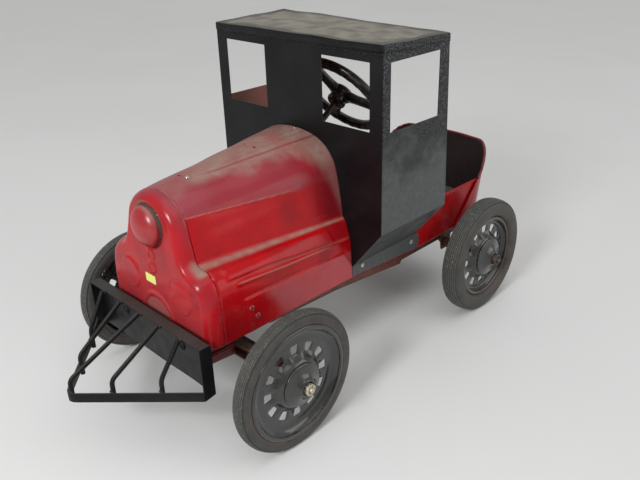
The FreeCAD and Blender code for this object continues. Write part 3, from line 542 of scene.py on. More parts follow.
def pedal_rubber():
    """Ribbed rubber of the pedal blocks."""
    s = Shader("pedal_rubber")
    base = s.mix(s.noise(8, 5), rgb(0.020, 0.020, 0.020), rgb(0.045, 0.043, 0.040))
    wave = s.add("ShaderNodeTexWave", {"Vector": s.where, "Scale": 60}, bands_direction="Z")
    s.relief(wave.outputs["Fac"], 1.0)
    return s.done(Base_Color=base, Roughness=s.mask((5,), 0.3, 0.7, 0.6, 0.85))


def layered(name, ground, first, second, layers, rough, relief=None, metal=None,
            metal_mask=None, **constants):
    """Two mottled colours under further layers.

    ground is the mask between the two colours. Each layer is a mask, a colour and, where
    it lies only on tops, the range of upward slopes. rough is a mask, or four limits that
    follow the ground, as metal does unless it has a mask of its own.
    """
    s = Shader(name, **constants)
    mottle = s.mask(*ground)
    base = s.mix(mottle, rgb(*first), rgb(*second))
    for mask, colour, *slope in layers:
        amount = s.mask(*mask)
        if slope:
            amount = s.times(s.span(s.facing(2), *slope), amount)
        base = s.mix(amount, base, rgb(*colour))
    if relief:
        s.relief(s.noise(*relief[0]), relief[1])
    inputs = {"Roughness": s.mask(*rough) if type(rough[0]) is tuple else s.span(mottle, *rough)}
    if metal:
        inputs["Metallic"] = s.span(s.mask(*metal_mask) if metal_mask else mottle, *metal)
    return s.done(Base_Color=base, **inputs)


def bright_metal(name, light, dull, tint):
    """Plated metal, scratched and dulled in patches."""
    return layered(name, ((4, 5, 0.6), 0.4, 0.68), light, dull,
                   [(((1.6, 4), 0.62, 0.72), tint)], (0, 1, 0.26, 0.5), ((1.0, 4), 0.05),
                   (0, 1, 0.9, 0.45))


RED = red_paint()
LAMP_RED = red_paint("lamp_red", 0.0, 0.23, 0.7)
RAIL_RED = layered("rail_red", ((20, 5), 0.3, 0.7), (0.20, 0.010, 0.014), (0.11, 0.012, 0.014),
                   [(((5, 5), 0.58, 0.7), (0.09, 0.035, 0.025))],
                   ((12,), 0.3, 0.7, 0.35, 0.6), ((4,), 0.1))
INSIDE = layered("inner_primer", ((30,),), (0.007, 0.003, 0.002), (0.014, 0.005, 0.004),
                 [(((30,), 0, 1, 0.3, 0.3), (0.08, 0.06, 0.05), 0.5, 1.0)],
                 ((12,), 0.3, 0.7, 0.55, 0.8), ((4,), 0.1))
CAB_INSIDE = layered("cab_inner_brown", ((40,),), (0.20, 0.060, 0.044), (0.28, 0.095, 0.070),
                     [(((9, 6), 0.55, 0.75), (0.10, 0.05, 0.03))],
                     ((16,), 0.3, 0.7, 0.4, 0.62), ((3,), 0.06))
CAB_BLACK = black_paint("cab_black", 0.4, 0.12, 0.28, 1.0)
BUMPER_BLACK = black_paint("bumper_black", 0.16, 0.2, 0.36, 0.0)
ENAMEL = layered("wheel_enamel", ((24, 5, 0.6), 0.3, 0.75, 0.25, 0.8),
                 (0.007, 0.008, 0.009), (0.026, 0.025, 0.023),
                 [(((30, 5), 0.3, 0.7, 0.0, 0.4), (0.17, 0.155, 0.13), 0.3, 0.95),
                  (((6, 6, 0.7), 0.70, 0.76), (0.10, 0.05, 0.03))],
                 (0.2, 0.8, 0.2, 0.4), ((40, 2, 0.4), 0.12), Coat_Weight=0.6, Coat_Roughness=0.07)
RUBBER = tyre_rubber()
BROWN = layered("chassis_brown", ((25, 5), 0.3, 0.7), (0.095, 0.026, 0.018), (0.15, 0.042, 0.030),
                [(((6, 6, 0.7), 0.52, 0.66), (0.085, 0.040, 0.022)),
                 (((16, 5), 0.3, 0.6, 0.25, 0.7), (0.20, 0.16, 0.13), 0.5, 0.95)],
                ((10,), 0.3, 0.7, 0.38, 0.6), ((3, 5, 0.65), 0.2), Specular_IOR_Level=0.4)
STEEL = layered("oiled_steel", ((12, 6, 0.65), 0.35, 0.65), (0.12, 0.11, 0.10),
                (0.060, 0.036, 0.024), [(((4, 5), 0.6, 0.7), (0.11, 0.05, 0.025))],
                (0, 1, 0.34, 0.62), ((2.5, 5), 0.12), (0, 1, 0.85, 0.3))
ZINC = bright_metal("zinc_screw", (0.66, 0.65, 0.62), (0.34, 0.31, 0.27), (0.30, 0.08, 0.06))
BRASS = bright_metal("worn_brass", (0.60, 0.54, 0.43), (0.36, 0.31, 0.24), (0.16, 0.10, 0.06))
PAINTED = layered("painted_screw", ((5,),), (0.36, 0.012, 0.016), (0.24, 0.010, 0.012),
                  [(((2.6, 4), 0.55, 0.68), (0.42, 0.27, 0.25))],
                  ((3,), 0.3, 0.7, 0.25, 0.45), ((1.5, 3), 0.08),
                  Coat_Weight=0.3, Coat_Roughness=0.15)
SEAT = layered("seat_brown", ((50,),), (0.055, 0.044, 0.034), (0.085, 0.070, 0.054),
               [(((30, 6, 0.65), 0.55, 0.68), (0.12, 0.115, 0.10))],
               ((18,), 0.3, 0.7, 0.45, 0.7), ((5, 5), 0.15), (0.3, 1, 0.0, 0.5),
               ((30, 6, 0.65), 0.55, 0.68))
WHEEL_BLACK = layered("steering_black", ((20, 4), 0.3, 0.7), (0.007, 0.007, 0.007),
                      (0.020, 0.020, 0.017),
                      [(((7, 5), 0.4, 0.7, 0.08, 0.4), (0.13, 0.13, 0.085), 0.3, 0.95)],
                      ((11,), 0.3, 0.7, 0.22, 0.38), ((2.2, 3), 0.08),
                      Coat_Weight=0.25, Coat_Roughness=0.15)
PEDAL = pedal_rubber()
LABEL = layered("label_paper", ((5, 3),), (0.72, 0.76, 0.14), (0.80, 0.82, 0.28), [],
                ((3,), 0.3, 0.7, 0.5, 0.65), ((1.2,), 0.03))
PRIMER = layered("lamp_band", ((9, 5),), (0.055, 0.042, 0.036), (0.13, 0.105, 0.085),
                 [(((4, 5), 0.6, 0.7), (0.12, 0.02, 0.02))],
                 ((6,), 0.3, 0.7, 0.5, 0.8), ((2,), 0.1))
# Near-black material for the caps on the hood's holes: a painted shadow of the holes.
HOLE_SHADOW = layered("painted_hole_shadow", ((3,),), (0.004, 0.003, 0.003), (0.012, 0.008, 0.007), [],
               ((2,), 0.3, 0.7, 0.7, 0.95))
SLOT_MATERIAL = {
    "chassis_red_brown": BROWN, "dark_steel": STEEL, "bright_screw": ZINC, "worn_brass": BRASS,
    "pedal_rubber": PEDAL, "red_body": RED, "cab_black": CAB_BLACK,
    "bumper_black": BUMPER_BLACK, "seat_brown": SEAT, "wheel_black": ENAMEL,
    "tyre_rubber": RUBBER, "steering_black": WHEEL_BLACK}


# ---------------------------------------------------------------- hood and nose

# Half sections, (x, z) from the crown down: the arch and the stepped side below it.
SEAM_ARCH = [(0, 430), (40, 419), (66, 394), (77, 358), (88, 316)]
SEAM_SIDE = [(114, 313), (129, 301), (139, 275), (142, 238)]
CAB_ARCH = [(0, 460), (59, 450), (96, 421), (112, 376), (122, 308)]
CAB_SIDE = [(127, 304), (132.5, 290), (139, 268), (142, 238)]
ARCH_COUNT = 84
STEP_COUNT = 9
SIDE_COUNT = 56
FOOT_COUNT = 20
HALF_COUNT = ARCH_COUNT + STEP_COUNT + SIDE_COUNT + FOOT_COUNT
EASING = 5


def half_outline(t, passes):
    """Half section of the hood from its crown to its foot at blend t, corners eased."""
    arch = [Vector(a).lerp(Vector(b), t) for a, b in zip(SEAM_ARCH, CAB_ARCH)]
    side = [Vector(a).lerp(Vector(b), t) for a, b in zip(SEAM_SIDE, CAB_SIDE)]
    crown = spline(arch, ARCH_COUNT, before=(-arch[1].x, arch[1].y))
    flank = spline(side, SIDE_COUNT, after=(BODY_HALF, side[-1].y * 2 - side[-2].y))
    step = resampled([crown[-1], flank[0]], STEP_COUNT + 2)[1:-1]
    base = resampled([flank[-1], Vector((BODY_HALF, BODY_BOTTOM))], FOOT_COUNT + 1)[1:]
    line = crown + step + flank + base
    relaxed(line, ARCH_COUNT - 14, ARCH_COUNT + STEP_COUNT + 14, min(passes, EASING))
    return relaxed(line, ARCH_COUNT - 30, HALF_COUNT - FOOT_COUNT - 4, max(passes - EASING, 0))


def hood_outline(y):
    return half_outline((y - NOSE_SEAM) / (CAB_FRONT - NOSE_SEAM), EASING)


def section_normals(line):
    normals = []
    for i in range(len(line)):
        d = line[min(i + 1, len(line) - 1)] - line[max(i - 1, 0)]
        normals.append(Vector((-d.y, d.x)).normalized() if d.length else Vector((0, 1)))
    normals[0] = Vector((0, 1))
    return normals


# Heights of the flank's pressed lines, as (y, z).
UPPER_EDGE = [(-60, 312.0), (78, 309.5), (190, 304.0), (250, 302.0)]
SECOND_LINE = [(-60, 292.0), (40, 288.5), (114, 281.0), (237, 271.6), (250, 271.0)]
RIDGE = [(-60, 284.5), (-22, 283.0), (82, 276.0), (191, 271.5), (250, 268.0)]
CREASE = [(-60, 255.5), (94, 254.0), (225, 249.3), (250, 248.5)]
# How far down from the crown the dust reaches, as (y, distance).
DUST_EDGE = [(-65, 40), (-20, 44), (40, 50), (90, 62), (130, 66), (170, 76), (190, 88),
             (208, 112), (221, 150), (233, 190), (246, 230)]
WIPED_LINE = [(-20, 12), (30, 22), (240, 50)]


def flank_relief(y, z):
    """Outward height of the side's pressed panel, rib and lower flat."""
    top, second = table(UPPER_EDGE, y), table(SECOND_LINE, y)
    crest, crease = table(RIDGE, y), table(CREASE, y)
    slant = 190 + (306 - z) * 0.42
    cut = 221 + (249 - z) * 0.665
    panel = smooth(second + 1, second + 5, z) * (1 - smooth(top - 4, top, z))
    flat = (1 - smooth(crease - 5, crease - 1.5, z)) * smooth(-22, -10, y)
    height = 1.9 * panel * smooth(-48, -36, y) * (1 - smooth(slant, slant + 4, y))
    height -= 0.9 * bump(z, second, 2.2) * smooth(-30, 0, y)
    height += 3.0 * bump(z, crest, 3.2) * between(-30, -22, 228, 244, y)
    height -= 1.7 * bump(z, crease, 2.4) * between(-24, -8, 226, 236, y)
    return height + 1.3 * flat * (1 - smooth(cut, cut + 4, y))


def crown_dust(y, reach, x):
    """Dust on the hood's top: reach is the distance down from the crown."""
    edge = table(DUST_EDGE, y) + 7 * wander(x, y, 0, 34) + 3 * wander(x, y, 9, 11)
    soft = 1 + 0.8 * smooth(180, 215, y)
    amount = 1 - smooth(edge - 24 * soft, edge + 12 * soft, reach)
    amount *= 0.66 + 0.16 * wander(x, y, 3, 42) + 0.06 * wander(x, y, 8, 9)
    amount *= 1 - 0.55 * smooth(85, 135, reach)
    amount *= 0.4 + 0.6 * smooth(-38, 8, y + 6 * wander(x, y, 6, 25))
    if x > 0:
        wiped = table(WIPED_LINE, y)
        amount *= 1 - 0.85 * bump(x, wiped, 2.2) * smooth(-10, 40, y)
        amount *= 1 - 0.45 * bump(x, wiped * 0.55, 1.6) * smooth(30, 90, y)
    return max(0.0, amount)


def thin_line(y):
    """Height of the fine raised line on the hood's upper side."""
    return 393.0 - 0.035 * (y + 56)


def seam_depth(k):
    """The seam between nose and hood is shallow and full of dust over the crown."""
    return 0.3 + 0.7 * smooth(25, 65, k)


def skin(rows, names):
    """Mesh of rows of (point, paint values named by names)."""
    mesh = Mesh().add(*grid([[entry[0] for entry in row] for row in rows]))
    for k, name in enumerate(names):
        values = [min(1.0, entry[k + 1]) for row in rows for entry in row]
        mesh.paint[name] = dict(enumerate(values))
    return mesh


HOOD_ROWS = 112
# Centre of a small patch of painted sheen on the upper hood, as (y, z).
PAINTED_SHEEN_PATCH = (157, 389)


def hood_surface():
    rows = []
    first = NOSE_SEAM + 3
    stations = [NOSE_SEAM + 0.2, NOSE_SEAM + 1.2]
    stations += [first + (CAB_FRONT - first) * i / HOOD_ROWS for i in range(HOOD_ROWS + 1)]
    for i, y in enumerate(stations):
        half = hood_outline(y)
        line, crease = thin_line(y), table(CREASE, y)
        seam = (1.9, 0.8, 0.0)[min(i, 2)]
        reach = 0.0
        right, left = [], []
        for k, (p, n) in enumerate(zip(half, section_normals(half))):
            if k:
                reach += (p - half[k - 1]).length
            ledge = between(ARCH_COUNT - 3, ARCH_COUNT + 1, ARCH_COUNT + 3, ARCH_COUNT + 8, k)
            above_line = smooth(line - 3, line + 5, p.y)
            lift = -0.9 * bump(reach, 0, 1.3) - seam * seam_depth(k)
            dust = max(crown_dust(y, reach, p.x), ledge * (0.72 + 0.16 * wander(p.x, y, 5, 15)))
            painted_reflection = 0.0
            if k > ARCH_COUNT + 2:
                lift += flank_relief(y, p.y)
                second = 0.3 * bump(p.y, table(SECOND_LINE, y) + 1, 1.6) * smooth(-5, 60, y)
                # A pale line along the ridge's crest, carried in the dust value: a painted
                # highlight.
                painted_ridge_highlight = 0.6 * bump(p.y, table(RIDGE, y) + 1.0, 1.0)
                dust = max(dust, second, painted_ridge_highlight * between(-28, -16, 165, 200, y))
                # The lower flat gets a pale pink painted reflection of the floor.
                painted_reflection = 0.95 * (1 - smooth(crease - 6, crease - 3, p.y))
                painted_reflection *= smooth(-16, 16, y - 34 - (240 - p.y) * 0.8)
            else:
                dust = max(dust, 0.5 * bump(p.y, line, 1.0) * (1 - smooth(140, 152, y)))
                if k < ARCH_COUNT - 6:
                    lift += 0.6 * bump(p.y, line, 1.4) * (1 - smooth(140, 165, y))
                    lift += 0.9 * wander(p.x, y, p.y, 70) * smooth(10, 40, reach)
            # The film over the upper hood is a dust film and a painted sheen, stronger at the front
            # and weaker near the cab.
            film_and_painted_sheen = 0.5 + 0.3 * (1 - smooth(-38, 8, y)) - 0.3 * smooth(150, 200, y)
            film_and_painted_sheen *= above_line
            film_and_painted_sheen += 0.6 * bump(y, PAINTED_SHEEN_PATCH[0], 10) * bump(p.y, PAINTED_SHEEN_PATCH[1], 7)
            # Painted shade: darker near the cab over the arch and above the thin line, with random
            # darker patches.
            painted_shade_and_mottle = max(0.8 * smooth(150, 225, y) * (1 - smooth(ARCH_COUNT - 6, ARCH_COUNT, k)),
                        0.35 * smooth(0.0, 0.8, wander(p.x, y, p.y, 60)), 0.42 * above_line)
            q = p + n * lift
            right.append((Vector((q.x, y, q.y)), dust, film_and_painted_sheen, painted_reflection, painted_shade_and_mottle))
            far_dust = max(crown_dust(y, reach, -p.x), ledge * 0.75)
            left.append((Vector((-q.x, y, q.y)), far_dust, film_and_painted_sheen, painted_reflection, painted_shade_and_mottle))
        rows.append(left[:0:-1] + right)
    return skin(rows, ("dust", "film_and_painted_sheen", "painted_reflection", "painted_shade_and_mottle"))


LAMP_Z = middle("headlight_dome")[2]
LAMP_R = 35.6
LAMP_REACH = 24.0
LAMP_SIDES = 72
NOSE_FRONT = node_box("nose_shell")[0][1] + 3.0 - AXLE_Y
FACE_DEPTH = NOSE_SEAM - NOSE_FRONT
EDGE_RADIUS = 15.5
EDGE_TURNS = 22
FACE_RINGS = 92
SEAM_GAP = 2.0
ROUND_PRESSING = (74, 262)
STACKED_RINGS = ((320, 12.5), (297, 13.5))
LOW_ARCH_Z = 200
NICKS = ((14, 417), (23, 414), (30, 409), (20, 404), (52, 398))


def face_lean(z):
    """How far the upper part of the nose's face leans back."""
    return 5.6 * smooth(295.0, 400.0, z)


def arch_reach(x, z):
    return math.hypot(x, (z - LOW_ARCH_Z) * 1.02)


def face_relief(x, z):
    """How far the nose's face stands forward, for its pressings."""
    lift = 0.0
    for side in (-1, 1):
        r = math.hypot(x - side * ROUND_PRESSING[0], z - ROUND_PRESSING[1])
        lift += 2.6 * (1 - smooth(27.0, 30.5, r)) - 0.5 * bump(r, 31.5, 2.2)
    for centre, size in STACKED_RINGS:
        r = math.hypot(x, z - centre)
        lift += 2.0 * (1 - smooth(size - 3, size, r)) - 1.6 * (1 - smooth(size - 8, size - 5, r))
    r = arch_reach(x, z)
    lift += 2.0 * between(37, 41, 46, 50.5, r) - 1.2 * (1 - smooth(36, 40, r))
    r = math.hypot(x, z - LAMP_Z) - LAMP_R
    lift += 0.8 * bump(r, 7, 3.0) - 4.0 * between(-1.5, 0.5, 3.0, 4.5, r)
    return lift - sum(0.5 * bump(math.hypot(x - px, z - pz), 0, 1.6) for px, pz in NICKS)


def nose_rings():
    """(distance ahead of the seam, share of the edge's turn, half section) from seam to hub."""
    stations = [(0.0, 0.2, 1.4), (0.0, 1.2, 0.4)]
    for i in range(1, EDGE_TURNS + 1):
        a = i / EDGE_TURNS * math.pi / 2
        stations.append((i / EDGE_TURNS, FACE_DEPTH * math.sin(a), EDGE_RADIUS * (1 - math.cos(a))))
    rings = []
    for share, ahead, shrink in stations:
        half = half_outline(0.0, EASING + int(150 * smooth(0.0, 0.8, share)))
        ring = [p - n * shrink * (seam_depth(k) if ahead < SEAM_GAP else 1)
                for k, (p, n) in enumerate(zip(half, section_normals(half)))]
        for p in ring:
            p.x = max(p.x, 0.0)
        ring[-1].y = BODY_BOTTOM
        rings.append((ahead, share, ring))
    hub = Vector((0, BODY_BOTTOM))
    for i in range(1, FACE_RINGS + 1):
        scale = 1 - i / (FACE_RINGS + 0.6)
        rings.append((FACE_DEPTH, 1.0, [hub + (p - hub) * scale for p in ring]))
    return rings


def nose_surface():
    rows = []
    for ahead, share, ring in nose_rings():
        sides = {1: [], -1: []}
        for k, p in enumerate(ring):
            # The brow, the rounded top edge by the seam, gets painted shade and a painted sheen.
            brow = (1 - smooth(0, 80, k)) * (1 - smooth(10, FACE_DEPTH, ahead))
            ledge = between(ARCH_COUNT - 8, ARCH_COUNT, ARCH_COUNT + 8, ARCH_COUNT + 14, k)
            # The lower face gets a pale painted reflection.
            painted_reflection = 0.5 * (1 - smooth(225, 300, p.y)) * smooth(0.8, 1.0, share)
            for hand, side in sides.items():
                x = hand * p.x
                y = NOSE_SEAM - ahead - face_relief(x, p.y) * smooth(0.75, 1.0, share)
                y += face_lean(p.y) * ahead / FACE_DEPTH
                dust = max(0.8 * (1 - smooth(0.0, 5.0, ahead)) * (1 - smooth(20, 60, k)),
                           0.9 * ledge * (1 - smooth(10, 24, ahead)))
                if share == 1.0:
                    r = math.hypot(x, p.y - LAMP_Z) - LAMP_R
                    dust = max(dust, 0.8 * smooth(-10, 30, p.y - LAMP_Z) * between(2, 4, 4, 8, r),
                               0.35 * (1 - smooth(35, 39, arch_reach(x, p.y))))
                # Painted shade on the brow, with random darker patches.
                painted_shade_and_mottle = max(0.5 * brow, 0.3 * smooth(0.1, 0.8, wander(x, y, p.y, 50)))
                side.append((Vector((x, y, p.y)), dust, 0.15 + 0.65 * brow, painted_reflection, painted_shade_and_mottle))
        rows.append(sides[-1][:0:-1] + sides[1])
    return skin(rows, ("dust", "film_and_painted_sheen", "painted_reflection", "painted_shade_and_mottle"))


def build_hood():
    finished("hood_pressing", hood_surface(), "body", [RED, INSIDE], ["hood_shell"],
             sharp=60, solid=1.2, outward=(0, 90, 260))
    finished("nose_pressing", nose_surface(), "body", [RED, INSIDE], ["nose_shell"],
             sharp=60, solid=1.2, outward=(0, -40, 280))


def build_lamp():
    seat = NOSE_FRONT + face_lean(LAMP_Z)
    tip = [(0.6, LAMP_REACH)]
    for i in range(1, 25):
        a = math.radians(3.4 * i)
        tip.append((LAMP_R * math.sin(a), 5 + (LAMP_REACH - 5) * math.cos(a)))
    tip += [(LAMP_R, 5.0), (LAMP_R - 0.5, 4.0), (LAMP_R - 2.0, 3.8)]
    dome = turned(Mesh(), tip, (0, seat, LAMP_Z), (0, -1, 0), LAMP_SIDES)
    dome.painted("dust", lambda v: 0.6 * smooth(0, LAMP_R, v.z - LAMP_Z)
                 * smooth(-15, -5, v.y - seat))
    # The dome is darkened all over by painted shade and given a little dust film with painted
    # sheen.
    dome.painted("film_and_painted_sheen", 0.08).painted("painted_shade_and_mottle", 0.3)
    band = [(LAMP_R - 3.5, 4.2), (LAMP_R - 0.9, 4.0), (LAMP_R - 0.6, 2.0), (LAMP_R - 0.4, -5.0),
            (LAMP_R - 3.5, -5.5)]
    turned(dome, band, (0, seat, LAMP_Z), (0, -1, 0), LAMP_SIDES, group=1)
    finished("lamp_dome", dome, "body", [LAMP_RED, PRIMER], ["headlight_dome"],
             sharp=40)


def hood_point(y, reach_to):
    """Point and outward direction on the hood's skin at a distance from its crown."""
    half = hood_outline(y)
    reach = 0.0
    for k in range(1, len(half)):
        reach += (half[k] - half[k - 1]).length
        if reach >= abs(reach_to):
            break
    p, n = half[k], section_normals(half)[k]
    sign = -1 if reach_to < 0 else 1
    return Vector((sign * p.x, y, p.y)), Vector((sign * n.x, 0, n.y))


def build_hood_details():
    # Dark caps where the hood has holes: a painted shadow of the holes.
    holes = Mesh()
    for y, reach in ((139, -18), (136, 9.5), (-15, -10)):
        turned(holes, [(3.3, -0.6), (3.3, 0.15), (2.6, 0.25), (2.0, 0.0)],
               *hood_point(y, reach), 16)
    finished("hood_hole_shadows", holes, "body", [HOLE_SHADOW])
    screws = Mesh()
    for y, reach, size in ((-12, 7, 4.2), (240, 4, 2.6)):
        slotted_head(screws, *hood_point(y, reach), size, size * 0.5, 0.6)
    finished("hood_screws", screws, "body", [ZINC], sharp=45)
    corners = eased([(-24, 279), (5, 279), (5, 263), (-24, 263)], 1.0, 3)
    label = slab(Mesh(), [(x, NOSE_FRONT - 0.15, z) for x, z in corners], (0, -0.35, 0))
    finished("plain_label", label, "body", [LABEL])
    bolts = Mesh()
    for k, (y, z) in enumerate(((-5, 232), (7, 212))):
        for hand in (1, -1):
            turned(bolts, [(6.6, 0.2), (6.6, 0.9), (6.0, 1.2), (5.0, 1.2)],
                   (hand * BODY_HALF, y, z), (hand, 0, 0), 28)
            slotted_head(bolts, (hand * (BODY_HALF + 0.9), y, z), (hand, 0, 0), 5.4, 3.0,
                         0.5 + 0.9 * k)
    finished("side_bolts", bolts, "body", [PAINTED], ["body_bolts"], sharp=45)


# ---------------------------------------------------------------- tub

TUB_RIM = 265.0
TUB_START = CAB_FRONT + 1.5
BACK_EDGE = node_box("back_panel")[1][1] - AXLE_Y
BACK_RIM = node_box("back_panel")[1][2]
SHEET = 1.5
BEAD = 3.0
SEAM_LOW = (580.0, TUB_BOTTOM)
SEAM_HIGH = (663.0, TUB_RIM + 3)
KEEL_END = 453
BOW_POINTS = 180
BOW_COLUMNS = 120
BOW_CORNER = 92
BOW_POWER = 0.84


SIDE_ROWS = 90
SIDE_COLUMNS = 24


def build_tub_sides():
    low = [(TUB_START, BODY_BOTTOM), (KEEL_END, TUB_BOTTOM), (SEAM_LOW[0] + 6, TUB_BOTTOM)]
    rows = []
    for i in range(SIDE_ROWS + 1):
        y_top = TUB_START + (SEAM_HIGH[0] + 4 - TUB_START) * i / SIDE_ROWS
        y_low = TUB_START + (SEAM_LOW[0] + 6 - TUB_START) * i / SIDE_ROWS
        z0 = table(low, y_low)
        row = []
        for k in range(SIDE_COLUMNS + 1):
            v = k / SIDE_COLUMNS
            y, z = y_low + (y_top - y_low) * v, z0 + (TUB_RIM - 1.2 - z0) * v
            sway = 0.4 * wander(0, y, z, 90) * smooth(0, 0.3, v) * (1 - v)
            row.append(Vector((BODY_HALF + sway, y, z)))
        rows.append(row)
    for hand, mesh in Mesh().add(*grid(rows)).both_sides():
        finished("tub_panel_" + hand, mesh, "body", [RED, INSIDE],
                 ["tub_side_" + hand], sharp=50, solid=1.2, outward=(0, 450, 220))
        x = (BODY_HALF - 1.2) * (1 if hand == "left" else -1)
        start = CAB_FRONT + 2
        bead = tube(Mesh(), [(x, start + (SEAM_HIGH[0] - start) * i / 40, TUB_RIM)
                             for i in range(41)], BEAD, 16)
        finished("tub_rim_" + hand, bead, "body", [RED], sharp=60)


def bow_line(z):
    """Back panel's outer line at a height, from the left lap seam to the right one."""
    back = BACK_EDGE + 12.5 + BEAD - (BACK_RIM - z) * 0.17
    half = BODY_HALF + SHEET + (z - TUB_BOTTOM + 20) * 0.03
    right = [Vector((half, 540.0))]
    for i in range(61):
        a = math.pi / 2 * i / 60
        right.append(Vector((half * math.cos(a) ** BOW_POWER,
                             back - BOW_CORNER + BOW_CORNER * math.sin(a) ** BOW_POWER)))
    share = (z - SEAM_LOW[1]) / (SEAM_HIGH[1] - SEAM_LOW[1])
    seam = SEAM_LOW[0] + (SEAM_HIGH[0] - SEAM_LOW[0]) * share
    start = min(seam, SEAM_HIGH[0] + 2)
    kept = [p for p in right if p.y > start]
    before = right[len(right) - len(kept) - 1]
    line = [before.lerp(kept[0], (start - before.y) / (kept[0].y - before.y))] + kept
    return resampled(line + [Vector((-p.x, p.y)) for p in reversed(line[:-1])], BOW_POINTS + 1)


def bow_point(j, z):
    p = bow_line(z)[round(j / BOW_COLUMNS * BOW_POINTS)]
    return Vector((p.x, p.y, z))


def build_back():
    rim = [(SEAM_HIGH[0], TUB_RIM + 1), (SEAM_HIGH[0] + 12, TUB_RIM + 11),
           (BACK_EDGE - 22, BACK_RIM - 13), (BACK_EDGE - 5, BACK_RIM - 2.5),
           (BACK_EDGE + 8, BACK_RIM - 5.0)]
    tops = []
    for j in range(BOW_COLUMNS + 1):
        z = 290.0
        for _ in range(12):
            z = 0.5 * z + 0.5 * table(rim, bow_point(j, z).y)
        tops.append(z)
    near = [tops[max(0, j - 2):j + 3] for j in range(BOW_COLUMNS + 1)]
    tops = [sum(part) / len(part) for part in near]
    rows = [[bow_point(j, TUB_BOTTOM + (top - TUB_BOTTOM) * i / 30) for j, top in enumerate(tops)]
            for i in range(31)]
    finished("tub_back", Mesh().add(*grid(rows)), "body", [RED, INSIDE],
             ["back_panel"], sharp=50, solid=1.3, outward=(0, 620, 250))
    bead = tube(Mesh(), [p + Vector((-0.7 if p.x > 0 else 0.7, -0.5, 0)) for p in rows[-1]],
                BEAD, 14)
    # The back rim's bead takes the darker rail red, not the body red: painted shade on the back-lit
    # rim, with some dirt.
    finished("tub_back_rim", bead, "body", [RAIL_RED], sharp=60)


# ---------------------------------------------------------------- cab

WINDOW_Z = (484.0, 602.5)
WINDOW_X = (74.0, 185.4)
WINDOW_Y = (266.4, 403.1)
KNEE_Z = 297.0
FLANGE_TOP = 210.0
WALL_X = CAB_HALF - 1.5
WALL_TOP = CAB_TOP - 7
WALL_LEAN = 11.0
FLANGE_X = BODY_HALF + 1.6
WELD_Z = CAB_TOP - 14
HOOD_JOINT_Z = 470


def rectangle(u0, u1, v0, v1):
    """Window hole with eased corners, wound against the panel's outline."""
    return eased([(u0, v0), (u1, v0), (u1, v1), (u0, v1)], 1.5, 3)[::-1]


def build_cab_front():
    arch = [(p.x - 1.2, p.y - 1.2) for p in half_outline(1.0, EASING) if p.y > FLANGE_TOP]
    arch[0] = (0.0, arch[0][1])
    arch = arch[::4] + [(BODY_HALF - 1.2, FLANGE_TOP)]
    edge = [(WALL_X, WALL_TOP), (WALL_X, KNEE_Z), (BODY_HALF + 1.5, FLANGE_TOP)]
    outer = edge + arch[::-1] + [(-x, z) for x, z in arch[1:] + edge[::-1]]
    holes = [rectangle(*sorted((sign * WINDOW_X[0], sign * WINDOW_X[1])), *WINDOW_Z)
             for sign in (1, -1)]
    panel = flat_face(Mesh(), outer, holes, lambda u, v: (u, CAB_FRONT, v))
    finished("cab_front_sheet", panel, "body", [CAB_BLACK, CAB_INSIDE],
             ["cab_front_panel"], solid=1.5, bevel=0.35, outward=(0, 400, 450))


def build_cab_sides():
    start, end = CAB_FRONT + 0.2, ROOF_REAR - 1.5
    rear_foot = end + WALL_LEAN
    foot_z = KNEE_Z + 4
    wall = flat_face(Mesh(), [(start, WALL_TOP), (start, foot_z), (rear_foot, foot_z),
                              (end, WALL_TOP)],
                     [rectangle(*WINDOW_Y, *WINDOW_Z)], lambda u, v: (WALL_X, u, v))
    rows = []
    for p in rounded([(WALL_X, foot_z), (WALL_X, KNEE_Z), (FLANGE_X, FLANGE_TOP),
                      (FLANGE_X, 200)], 3.5, 4):
        rear = rear_foot
        if p.y < FLANGE_TOP + 2:
            rear += (KEEL_END - rear) * smooth(FLANGE_TOP + 2, FLANGE_TOP - 4, p.y)
        rows.append([Vector((p.x, start + (rear - start) * j / 12, p.y)) for j in range(13)])
    rows.append([Vector((FLANGE_X, start + (KEEL_END - start) * j / 12,
                         BODY_BOTTOM + 2 + (TUB_BOTTOM - BODY_BOTTOM) * j / 12))
                 for j in range(13)])
    verts, faces = grid(rows)
    wall.add(verts, [face[::-1] for face in faces])
    for hand, mesh in wall.both_sides():
        finished("cab_wall_" + hand, mesh, "body", [CAB_BLACK, CAB_INSIDE],
                 ["cab_side_" + hand], solid=1.5, bevel=0.35, outward=(0, 340, 450))


def rounded_rectangle_ring(hx, y0, y1, inset, corner, z):
    """Ring of a fixed number of points round a rounded rectangle."""
    hx, y0, y1 = hx - inset, y0 + inset, y1 - inset
    radius = min(max(0.3, corner - inset * 0.6), (y1 - y0) / 2 - 0.01)
    points = []
    for cx, cy, first in ((hx - radius, y0 + radius, -90), (hx - radius, y1 - radius, 0),
                          (radius - hx, y1 - radius, 90), (radius - hx, y0 + radius, 180)):
        for k in range(5):
            a = math.radians(first + 90 * k / 4)
            points.append(Vector((cx + radius * math.cos(a), cy + radius * math.sin(a), z)))
    full = []
    for i, p in enumerate(points):
        q = points[(i + 1) % len(points)]
        full.append(p)
        if i % 5 == 4:
            steps = 18 if i % 10 == 4 else 36
            full += [p.lerp(q, k / steps) for k in range(1, steps)]
    return full


